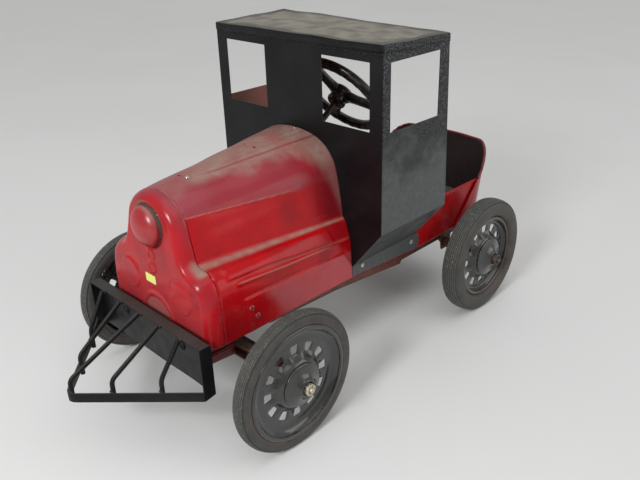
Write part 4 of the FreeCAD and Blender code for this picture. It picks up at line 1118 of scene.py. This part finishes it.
def build_roof():
    length = ROOF_REAR - ROOF_FRONT
    profile = [(0.0, -14.0), (0.0, -9), (0.0, -5), (0.0, -2.4), (0.35, -1.2), (1.1, -0.4), (2.4, 0)]
    profile += [(2.4 + (length / 2 - 3.2) * i / 26, 0) for i in range(1, 27)]
    rows = []
    for inset, drop in profile:
        ring = rounded_rectangle_ring(CAB_HALF, ROOF_FRONT, ROOF_REAR, inset, 3.0, CAB_TOP + drop)
        lip = (1 - smooth(0.0, 1.0, inset)) * smooth(-3, -12, drop)
        for p in ring:
            across = p.x / CAB_HALF
            along = (2 * p.y - ROOF_FRONT - ROOF_REAR) / length
            p.z += smooth(2, 30, inset) * (-0.9 + 0.9 * wander(p.x, p.y, 0, 80))
            p.z += lip * 0.7 * wander(p.x, p.y, 4, 24) + wander(p.x, p.y, 7, 70)
            p.z += 1.3 - 1.1 * across - 0.7 * along - 2.4 * across * along
        rows.append(ring)

    def dust(v):
        border = min(CAB_HALF - abs(v.x), v.y - ROOF_FRONT, ROOF_REAR - v.y)
        if v.z <= CAB_TOP - 6 or border <= 2:
            return 0.0
        clear = smooth(5, 26 + 12 * wander(v.x, v.y, 1, 40), border)
        streak = bump(v.x, 150 + 0.4 * (v.y - 350), 5) + bump(v.x, 95 - 0.3 * (v.y - 380), 4)
        streak *= smooth(0.0, 0.5, wander(v.x, v.y, 5, 30))
        return min(1.0, clear * (0.86 + 0.22 * wander(v.x, v.y, 2, 26) + 0.3 * streak))

    roof = Mesh().sleeve(rows, start=False).painted("dust", dust)
    roof.painted("rough", lambda v: 0.9 if v.z < CAB_TOP - 0.3 else 0.0)
    finished("cab_roof_lid", roof, "body", [CAB_BLACK, CAB_INSIDE], ["cab_roof"],
             solid=1.3, sharp=50, outward=(0, 337, 560))


def build_cab_details():
    welds = Mesh()
    random.seed(11)
    for k in range(60):
        x = -CAB_HALF + 6 + k * (2 * CAB_HALF - 12) / 59 + random.uniform(-2, 2)
        size = random.uniform(1.2, 3.4)
        blob(welds, (x, CAB_FRONT - 0.2, WELD_Z + random.uniform(-2.5, 1.5)),
             (size * 1.5, 0.7, size), k)
    for k in range(24):
        y = CAB_FRONT + 8 + k * 7.2 + random.uniform(-2, 2)
        size = random.uniform(1.2, 3.0)
        for hand in (1, -1):
            blob(welds, (hand * (CAB_HALF - 1.4), y, WELD_Z + random.uniform(-2, 2)),
                 (0.7, size * 1.5, size), k + 90)
    for k in range(46):
        z = KNEE_Z + 20 + k * 6.3
        if z < HOOD_JOINT_Z - 8:
            z = HOOD_JOINT_Z
        blob(welds, (random.uniform(-0.8, 0.8), CAB_FRONT + 0.1, z), (1.5, 0.45, 2.6), k + 140)
    for k in range(9):
        blob(welds, (CAB_HALF + 0.1, CAB_FRONT + 20 + k * 19, CAB_TOP - 4 - 3 * (k % 3)),
             (0.6, 4.5, 1.6), k + 200)
    welds.painted("rough", 1.0)
    finished("cab_welds", welds, "body", [CAB_BLACK], sharp=60)
    screws = Mesh()
    for k, (y, z) in enumerate(((274, 203), (427, 197))):
        for hand in (1, -1):
            slotted_head(screws, (hand * FLANGE_X, y, z), (hand, 0, 0), 5.0, 3.2, 0.4 + 1.1 * k)
    finished("flange_screws", screws, "body", [ZINC], ["cab_screws"], sharp=45)


# ---------------------------------------------------------------- bumper and pilot

PLATE = 2.5


def build_bumper():
    back = BUMPER_HIGH[1] - AXLE_Y
    web = back - PLATE
    front, top, low = BUMPER_FRONT, BUMPER_TOP, BUMPER_LOW[2]
    half = BUMPER_HIGH[0]
    bend = eased([(back, low + 3.1), (back, top), (front, top)], 4.5, 5, False)
    inner = eased([(web, low + 3.1), (web, top - PLATE), (front, top - PLATE)], 2.2, 5, False)
    rows = []
    for i in range(41):
        x = -half + 0.5 + (2 * half - 1) * i / 40
        rows.append([Vector((x, y + 0.5 * wander(x, 0, z, 110), z + 0.5 * wander(x, y, 0, 90)))
                     for y, z in bend + inner[::-1]])
    plate = Mesh().sleeve(rows)
    outline = [(back, top - 1.5), (web - 2, top - 0.4), (front + 1, top - 0.4),
               (front, top - 2), (front, low), (front + 4, low), (back, low + 3)]
    bolts = Mesh()
    for hand in (1, -1):
        slab(plate, [(hand * (half - PLATE), y, z) for y, z in outline], (hand * PLATE, 0, 0))
        turned(bolts, [(9.0, 0), (9.0, 0.8), (7.4, 2.6), (4.5, 4.0), (1.2, 4.6)],
               (hand * 85.0, web, 185), (0, -1, 0), 28)
    finished("bumper_channel", plate, "body", [BUMPER_BLACK], ["bumper_plate"],
             bevel=0.5)
    finished("bumper_bolt_heads", bolts, "body", [BUMPER_BLACK], ["bumper_bolts"])


def build_front_rails():
    """Rolled strips between bumper and axle beam that hang below the nose."""
    low, high = node_box("front_rail_left")
    inner, outer = low[0] + 0.5, high[0]
    y0, y1 = low[1] - AXLE_Y, high[1] - AXLE_Y
    top = BODY_BOTTOM + 3
    rows = []
    for i in range(25):
        t = i / 24
        foot = low[2] + 1.0 + 9.0 * (1 - t)
        crest = low[2] + 22.5 + 1.5 * (1 - t)
        section = [(inner, foot + 1.2), (outer - 1.0, foot), (outer + 0.3, foot + 1.6)]
        for k in range(13):
            a = math.radians(-90 + 15 * k)
            section.append((outer + 0.3 + 4.4 * max(0.0, math.cos(a)) ** 0.8,
                            crest + 5.2 * math.sin(a)))
        section += [(outer + 0.2, crest + 8), (outer - 4, top), (outer - 6, top),
                    (inner, crest + 8)]
        rows.append([Vector((x, y0 + (y1 - y0) * t, z)) for x, z in section])
    for hand, mesh in Mesh().sleeve(rows).both_sides():
        finished("front_rail_strip_" + hand, mesh, "body", [RAIL_RED],
                 ["front_rail_" + hand], sharp=40)


PILOT_ROD_X = ((-116.0, -110.0), (-58.0, -51.0), (0.0, 0.0), (58.0, 51.0), (116.0, 110.0))
PILOT_BAR_THICK = 3.2
PILOT_ROD_R = 4.0


def build_pilot():
    low, high = node_box("pilot_bar")
    tip, base, half = low[1] - AXLE_Y, low[2], high[0]
    path = [Vector(p) for p in eased([(half, BUMPER_FRONT), (0, tip - 1.5), (-half, BUMPER_FRONT)],
                                     16, 8, False)]
    fine = resampled(path, 61)
    rows = []
    for i, p in enumerate(fine):
        d = (fine[min(i + 1, 60)] - fine[max(i - 1, 0)]).normalized()
        n = Vector((d.y, -d.x))
        rows.append([Vector((*(p + n * a), base + b)) for a, b in eased(
            [(0, 0), (0, 17), (PILOT_BAR_THICK, 17), (PILOT_BAR_THICK, 0)], 0.7, 2)])
    finished("pilot_v_bar", Mesh().sleeve(rows), "body", [BUMPER_BLACK],
             ["pilot_bar"])
    slope = (BUMPER_FRONT - tip) / half
    rods = Mesh()
    for k, (top_x, foot_x) in enumerate(PILOT_ROD_X):
        foot_y = tip + slope * abs(foot_x) + (PILOT_BAR_THICK + 4.1) * math.hypot(1, slope)
        if foot_x == 0:
            foot_y += 1.0
        path = rounded([(top_x, BUMPER_FRONT - 3.6, BUMPER_TOP - 0.6),
                        (foot_x, foot_y, base + 37), (foot_x, foot_y, base + 1)], 9, 6)
        extra = [path[0].lerp(path[1], t / 8) for t in range(8)]
        tube(rods, extra + path[1:], PILOT_ROD_R, 16)
        blob(rods, (top_x, BUMPER_FRONT - 1.0, BUMPER_TOP - 2.6), (5.6, 2.6, 3.2), k)
        blob(rods, (foot_x, foot_y - 2, base + 17.4), (5.0, 4.0, 1.6), k + 7)
    for hand in (1, -1):
        blob(rods, (hand * (half - 2.5), BUMPER_FRONT + 0.6, base + 9), (2.6, 2.8, 8), 20 + hand)
    rods.painted("rough", 0.25)
    finished("pilot_bars", rods, "body", [BUMPER_BLACK], ["pilot_rods"], sharp=50)


# ---------------------------------------------------------------- wheels

TYRE_R = AXLE_Z
SLOTS = 12
TREAD_DROP = 2.6
LIP_R = {"front": 104.0, "rear": 90.0}
TREAD_HALF = {"front": 10.2, "rear": 15.6}
TREAD_STEPS = {"front": 44, "rear": 60}
RIB_PITCH = {"front": 2.9, "rear": 4.4}
RIB_DEPTH = {"front": 1.0, "rear": 1.4}
CAP_SWELL = {"front": 1.0, "rear": 1.06}
TYRE_WALL = {
    "front": [(124.1, 10.4), (121.7, 10.5), (120.6, 11.6), (117.6, 13.2), (113.5, 14.0),
              (109.5, 13.9), (106.6, 13.4)],
    "rear": [(124.0, 15.9), (121.4, 16.0), (120.2, 17.2), (116.5, 19.7), (111.0, 21.0),
             (101.5, 20.9), (95.5, 19.6), (92.6, 16.8)],
}
# Outlines as (radius, outboard offset); the rim's radius is measured from the tyre's lip.
RIM_ROLL = [(-7.7, 12.0), (-6.8, 14.6), (-3, 15.0), (0.3, 13.6), (0.4, 11.6), (-4.7, 11.2),
            (-4.7, -11.2), (0.3, -11.4), (0.3, -13.2), (-4, -14.0), (-6.8, -13), (-7.0, 5.0)]
HUB_TUBE = [(6.6, -13), (11, -13), (11, 27), (6.6, 27)]
CAP_BELL = [(38.2, 16.6), (39.8, 17.4), (39.6, 19.2), (36.6, 20.6), (30, 22.6), (23.5, 25.6),
            (18.8, 29.0), (15.8, 32.8), (14.0, 33.8), (12.4, 33.2), (11.3, 31.4), (11.3, 29.6),
            (15, 27.0), (22, 23.0), (33, 19.2), (36.5, 16.8)]
AXLE_NUT = {
    "front": [(6.5, 33.0), (10.6, 33.0), (10.6, 38.4), (9.6, 39.6), (4.6, 40.0), (4.4, 42.6),
              (3.4, 43.6), (0.8, 43.8)],
    "rear": [(6.5, 32.0), (11.4, 32.0), (11.6, 42.0), (10.4, 43.6), (7.4, 43.4), (6.6, 40.5),
             (5.2, 40.5), (5.0, 47.4), (4.0, 48.6), (0.8, 48.8)],
}
PIN_REACH = {"front": 41.2, "rear": 45.2}
SLOT_HALF = [(54.5, 3.0), (55.3, 4.8), (56.7, 5.9), (67.4, 8.2), (68.8, 7.7), (69.7, 6.0),
             (70, 4.2)]
DISC_OFFSET = [(11, 16.6), (36, 16.8), (39.5, 16.4), (43, 14.6), (46, 11.4), (48.5, 7.4), (51, 4.4),
               (54, 3.4), (72, 3.2), (78, 2.4), (84, 2.2), (88, 3.0), (92, 5.6), (95, 8.6),
               (97, 11.2)]
DISC_RADII = [11, 14, 20, 27, 33, 36, 38, 40, 42, 44.5, 46.5, 48.5, 50.5, 52, 53.3, 54.5, 55.3,
              56.7, 60, 63.5, 67.4, 68.8, 69.7, 70, 71.2, 73, 76, 80, 84, 88, 90, 92, 93.5, 95,
              96, 97]
SLOT_INNER, SLOT_OUTER = 54.5, 70


def rib_groove(end, x):
    """Depth from 0 to 1 of the fine grooves round the tread at an offset from its middle."""
    wave = (0.5 + 0.5 * math.cos(2 * math.pi * x / RIB_PITCH[end])) ** 3
    return wave * (1 - smooth(TREAD_HALF[end] - 1.0, TREAD_HALF[end], abs(x)))


def tyre_profile(end):
    """(radius, offset) outline: a ribbed tread, a cut line at its shoulder and a round wall."""
    lip = LIP_R[end]
    side = []
    for i in range(TREAD_STEPS[end] + 1):
        share = i / TREAD_STEPS[end]
        x = TREAD_HALF[end] * share
        side.append((TYRE_R - TREAD_DROP * share ** 2.6 - RIB_DEPTH[end] * rib_groove(end, x), x))
    side += pairs(spline(TYRE_WALL[end], 26))
    side += eased([(lip + 1.5, 13.2), (lip - 1.0, 10.8), (lip - 4.6, 10.8)], 1.5, 3, False)
    return [(r, -x) for r, x in reversed(side[1:])] + side


def disc_sheet(end, plane, side, y):
    """Pressed disc with its slots left open and their edges and lobes formed."""
    outer = LIP_R[end] - 7.0
    first, last = DISC_RADII.index(SLOT_INNER), DISC_RADII.index(SLOT_OUTER)
    pitch = math.radians(360 / SLOTS)
    per = 16
    rows = []
    for r in DISC_RADII:
        inside = min(max(r, SLOT_INNER), SLOT_OUTER)
        a = table(SLOT_HALF, inside) / inside
        if r < 50 or r > 74:
            a = math.radians(30 / per * 3)
        at = r if r <= 70 else 70 + (r - 70) * (outer - 70) / 27
        row = []
        for s in range(SLOTS):
            for k in range(-8, 8):
                if abs(k) <= 3:
                    angle = k / 3 * a
                else:
                    angle = math.copysign(a + (pitch / 2 - a) * (abs(k) - 3) / 5, k)
                near = max(0.0, 1 - abs(abs(angle) - a) * r / 4.0) if 51 < r < 73 else 0.0
                lobe = smooth(a, pitch / 2, abs(angle)) * between(46, 50, 51, 62, r)
                lift = table(DISC_OFFSET, r) - 0.9 * near * between(51, 54, 70, 73, r) + 3.4 * lobe
                total = s * pitch + angle
                row.append(Vector((side * (plane + lift), y + at * math.sin(total),
                                   AXLE_Z + at * math.cos(total))))
        rows.append(row)

    def keep(i, j):
        return not (first <= i < last and -3 <= j % per - 8 < 3)

    return Mesh().add(*grid(rows, wrap_columns=True, keep=keep))


def build_wheel(end, hand, plane, y, body):
    side = 1 if hand == "left" else -1
    tag = end + "_" + hand
    lip = LIP_R[end]

    def offset(v):
        return abs(v.x) - plane

    def radius(v):
        return math.hypot(v.y - y, v.z - AXLE_Z)

    def tread(v):
        return smooth(TYRE_R - 5.5, TYRE_R - 3, radius(v))

    # Painted shade: how much the rubber darkens in the rib grooves and the shoulder cut.
    def groove_shade(v):
        cut = bump(radius(v), TYRE_R - 5.6, 1.5) * bump(abs(offset(v)), TREAD_HALF[end] + 0.6, 1.2)
        return max(tread(v) * rib_groove(end, offset(v)), cut)

    tyre = lathe(Mesh(), tyre_profile(end), plane, side, y, 144)
    tyre.painted("rim", lambda v: 1 - smooth(lip, lip + 9, radius(v)))
    tyre.painted("tread", tread).painted("groove_shade", groove_shade)
    finished("tyre_" + tag + "_rubber", tyre, body, [RUBBER], ["tyre_" + tag],
             sharp=48)
    finished("disc_" + tag, disc_sheet(end, plane, side, y), body, [ENAMEL],
             ["wheel_disc_" + tag], sharp=50, solid=1.6, bevel=0.3,
             outward=(side * (plane - 60), y, AXLE_Z))
    roll = eased([(lip + r, x) for r, x in RIM_ROLL], 1.6, 4)
    rolled = lathe(Mesh(), roll, plane, side, y, 144)
    lathe(rolled, eased(HUB_TUBE, 0.8, 2), plane, side, y, 40)
    finished("rim_" + tag, rolled, body, [ENAMEL], sharp=48)
    bell = [(r * CAP_SWELL[end] if r > 20 else r, x) for r, x in eased(CAP_BELL, 1.6, 3)]
    finished("cap_" + tag, lathe(Mesh(), bell, plane, side, y, 96), body, [ENAMEL],
             ["hub_cap_" + tag], sharp=50)


def build_axle_nut(end, hand, plane, y, body, material, nodes):
    """Nut and split pin outboard of a wheel."""
    side = 1 if hand == "left" else -1
    nut = turned(Mesh(), eased(AXLE_NUT[end], 0.6, 2, False), (side * plane, y, AXLE_Z),
                 (side, 0, 0), 40)
    lean = Vector((0, 0.5, 1)).normalized()
    tube(nut, [Vector((side * (plane + PIN_REACH[end]), y, AXLE_Z)) + lean * d
               for d in (-8.5, -5, 0, 5, 8.5)], 1.1, 10)
    finished("axle_nut_" + end + "_" + hand, nut, body, [material], nodes, sharp=45)


def build_wheels():
    for hand in ("left", "right"):
        build_wheel("front", hand, FRONT_PLANE, 0.0, "front_wheel_" + hand)
    build_wheel("rear", "left", REAR_PLANE, WHEELBASE, "rear_axle")
    build_wheel("rear", "right", REAR_PLANE, WHEELBASE, "rear_wheel_right")
    for hand in ("left", "right"):
        build_axle_nut("front", hand, FRONT_PLANE, 0.0, "knuckle_" + hand, BRASS,
                       ["axle_end_front_" + hand])
    for hand, nodes in (("left", ["axle_ends_rear"]), ("right", [])):
        build_axle_nut("rear", hand, REAR_PLANE, WHEELBASE, "rear_axle", STEEL,
                       nodes)


# ---------------------------------------------------------------- steering wheel and seat

STEERING_TILT = math.radians(-54)
STEERING_HUB = Vector((0, 374.0, 494.0))
STEERING_R = 88
GRIP_R = 9.0
GRIP_POINTS = 216
SPOKE_TURNS = (10, 130, 250)
BOSS = [(6.1, -23), (16, -23), (20, -17), (18, -8), (24, -1), (26, 6), (22.5, 10.6), (6.1, 11)]


def rounded_power(value):
    return math.copysign(abs(value) ** 0.8, value)


def build_steering_wheel():
    rows = []
    for i, turn in enumerate(angles(GRIP_POINTS)):
        out = Vector((math.cos(turn), math.sin(turn), 0))
        wave = 0.5 + 0.5 * math.cos(2 * math.pi * i / 8)
        row = []
        for a in angles(18):
            r = GRIP_R * (1 - 0.07 * max(0.0, -math.sin(a)) ** 1.5 * wave)
            row.append(out * (STEERING_R + r * 1.25 * math.cos(a))
                       + Vector((0, 0, r * math.sin(a))))
        rows.append(row)
    wheel = Mesh().add(*grid(rows, wrap_rows=True, wrap_columns=True))
    for turn in SPOKE_TURNS:
        a = math.radians(turn)
        out = Vector((math.cos(a), math.sin(a), 0))
        side = Vector((-math.sin(a), math.cos(a), 0))
        rows = []
        for i in range(13):
            t = i / 12
            width = 15.5 - 4.5 * smooth(0, 0.4, t) + 2.4 * smooth(0.75, 1.0, t)
            thick = 8.8 - 1.6 * smooth(0, 0.6, t) + 0.8 * smooth(0.8, 1, t)
            height = 1.5 * (1 - smooth(0, 0.6, t))
            rows.append([out * (9 + 74 * t) + side * (width * rounded_power(math.cos(b)))
                         + Vector((0, 0, height + thick * rounded_power(math.sin(b))))
                         for b in angles(16)])
        wheel.add(*grid(rows, wrap_columns=True))
    boss = eased(BOSS, 2.6, 4)
    rows = [[Vector((r * math.cos(a), r * math.sin(a), h)) for r, h in boss] for a in angles(48)]
    wheel.add(*grid(rows, wrap_rows=True, wrap_columns=True))
    tilt = Matrix.Rotation(STEERING_TILT, 3, "X")
    wheel.verts = [tilt @ v + STEERING_HUB for v in wheel.verts]
    finished("steering_wheel_moulded", wheel, "steering", [WHEEL_BLACK],
             ["steering_wheel"], sharp=50)


def build_seat():
    low, high = node_box("seat_pan")
    x1, y0, y1, top = high[0], low[1] - AXLE_Y, high[1] - AXLE_Y, high[2]
    profile = [(0.0, top - 16), (0.0, top - 4), (0.5, top - 1.8), (1.6, top - 0.5), (3.2, top)]
    profile += [(3.2 + (y1 - y0 - 8) / 2 * i / 24, top) for i in range(1, 25)]
    rows = []
    for inset, z in profile:
        ring = rounded_rectangle_ring(x1, y0, y1, inset, 30.0, z)
        for p in ring:
            r = math.hypot(p.x / 120, (p.y - (y0 + y1) / 2) / 90)
            p.z -= 3.0 * (1 - smooth(0.0, 1.0, r)) if z == top else 0.0
            p.z += 0.3 * wander(p.x, p.y, 0, 60)
        rows.append(ring)
    finished("seat_pressing", Mesh().sleeve(rows, start=False), "body", [SEAT],
             ["seat_pan"], solid=1.5, sharp=50, outward=(0, 600, 190))


def paint_cad_nodes():
    """Give every CAD node that stays visible its slot's material."""
    for part in frame["record"]["subparts"]:
        obj = frame["nodes"][part["node"]]
        material = SLOT_MATERIAL[part["material_slot"]]
        if part["node"].startswith("front_rail"):
            material = RAIL_RED
        if not obj.data.materials:
            obj.data.materials.append(material)
        for item in obj.material_slots:
            item.material = material


# ---------------------------------------------------------------- stage

FLOOR_HALF = 30.0
CAMERA_AZIMUTH = math.radians(45.08)
CAMERA_ELEVATION = math.radians(25.88)
CAMERA_ROLL = math.radians(-1.726)
CAMERA_PLACE = Vector((0.9523, -0.8730, 0.8525))


def linked(name, data):
    thing = bpy.data.objects.new(name, data)
    bpy.context.collection.objects.link(thing)
    return thing


def build_stage():
    h = FLOOR_HALF
    data = bpy.data.meshes.new("floor")
    data.from_pydata([(-h, -h, 0), (h, -h, 0), (h, h, 0), (-h, h, 0)], [], [(0, 1, 2, 3)])
    floor = linked("floor", data)
    data.materials.append(layered(
        "studio_floor", ((700, 3),), (0.66, 0.67, 0.665), (0.72, 0.73, 0.725), [],
        ((500,), 0.3, 0.7, 0.55, 0.7), Specular_IOR_Level=0.2))
    world = bpy.data.worlds.new("studio")
    world.use_nodes = True
    background = world.node_tree.nodes["Background"].inputs
    background["Color"].default_value = rgb(1.0, 0.99, 0.975)
    background["Strength"].default_value = 0.43
    bpy.context.scene.world = world


def add_light(name, at, toward, size, power):
    data = bpy.data.lights.new(name, "AREA")
    data.shape = "RECTANGLE"
    data.size, data.size_y = size
    data.energy = power
    lamp = linked(name, data)
    lamp.location = at
    lamp.rotation_euler = (Vector(toward) - Vector(at)).to_track_quat("-Z", "Y").to_euler()


def build_lights():
    sun = bpy.data.lights.new("soft_sky", "SUN")
    sun.energy = 0.85
    sun.angle = math.radians(60)
    sky = linked("soft_sky", sun)
    sky.rotation_euler = Vector((0.25, -0.05, 1.0)).to_track_quat("Z", "Y").to_euler()
    add_light("front_key", (0.75, -2.7, 1.95), (0.0, -0.1, 0.25), (0.7, 0.7), 62)
    add_light("right_window", (3.4, 2.3, 1.5), (0.0, 0.0, 0.3), (2.8, 2.0), 30)


def build_camera():
    flat = math.cos(CAMERA_ELEVATION)
    back = Vector((math.sin(CAMERA_AZIMUTH) * flat, -math.cos(CAMERA_AZIMUTH) * flat,
                   math.sin(CAMERA_ELEVATION)))
    right = (-back).cross(Vector((0, 0, 1))).normalized()
    up = right.cross(-back)
    c, s = math.cos(CAMERA_ROLL), math.sin(CAMERA_ROLL)
    data = bpy.data.cameras.new("camera")
    data.lens = 40.09
    data.sensor_width = 36.0
    data.clip_end = 100
    camera = linked("camera", data)
    place = Matrix((right * c + up * s, up * c - right * s, back)).transposed().to_4x4()
    place.translation = CAMERA_PLACE
    camera.matrix_world = place
    bpy.context.scene.camera = camera
    bpy.context.scene.view_settings.view_transform = "Standard"


build_camera()
build_stage()
build_lights()
paint_cad_nodes()
build_hood()
build_lamp()
build_hood_details()
build_tub_sides()
build_back()
build_cab_front()
build_cab_sides()
build_roof()
build_cab_details()
build_bumper()
build_front_rails()
build_pilot()
build_wheels()
build_steering_wheel()
build_seat()
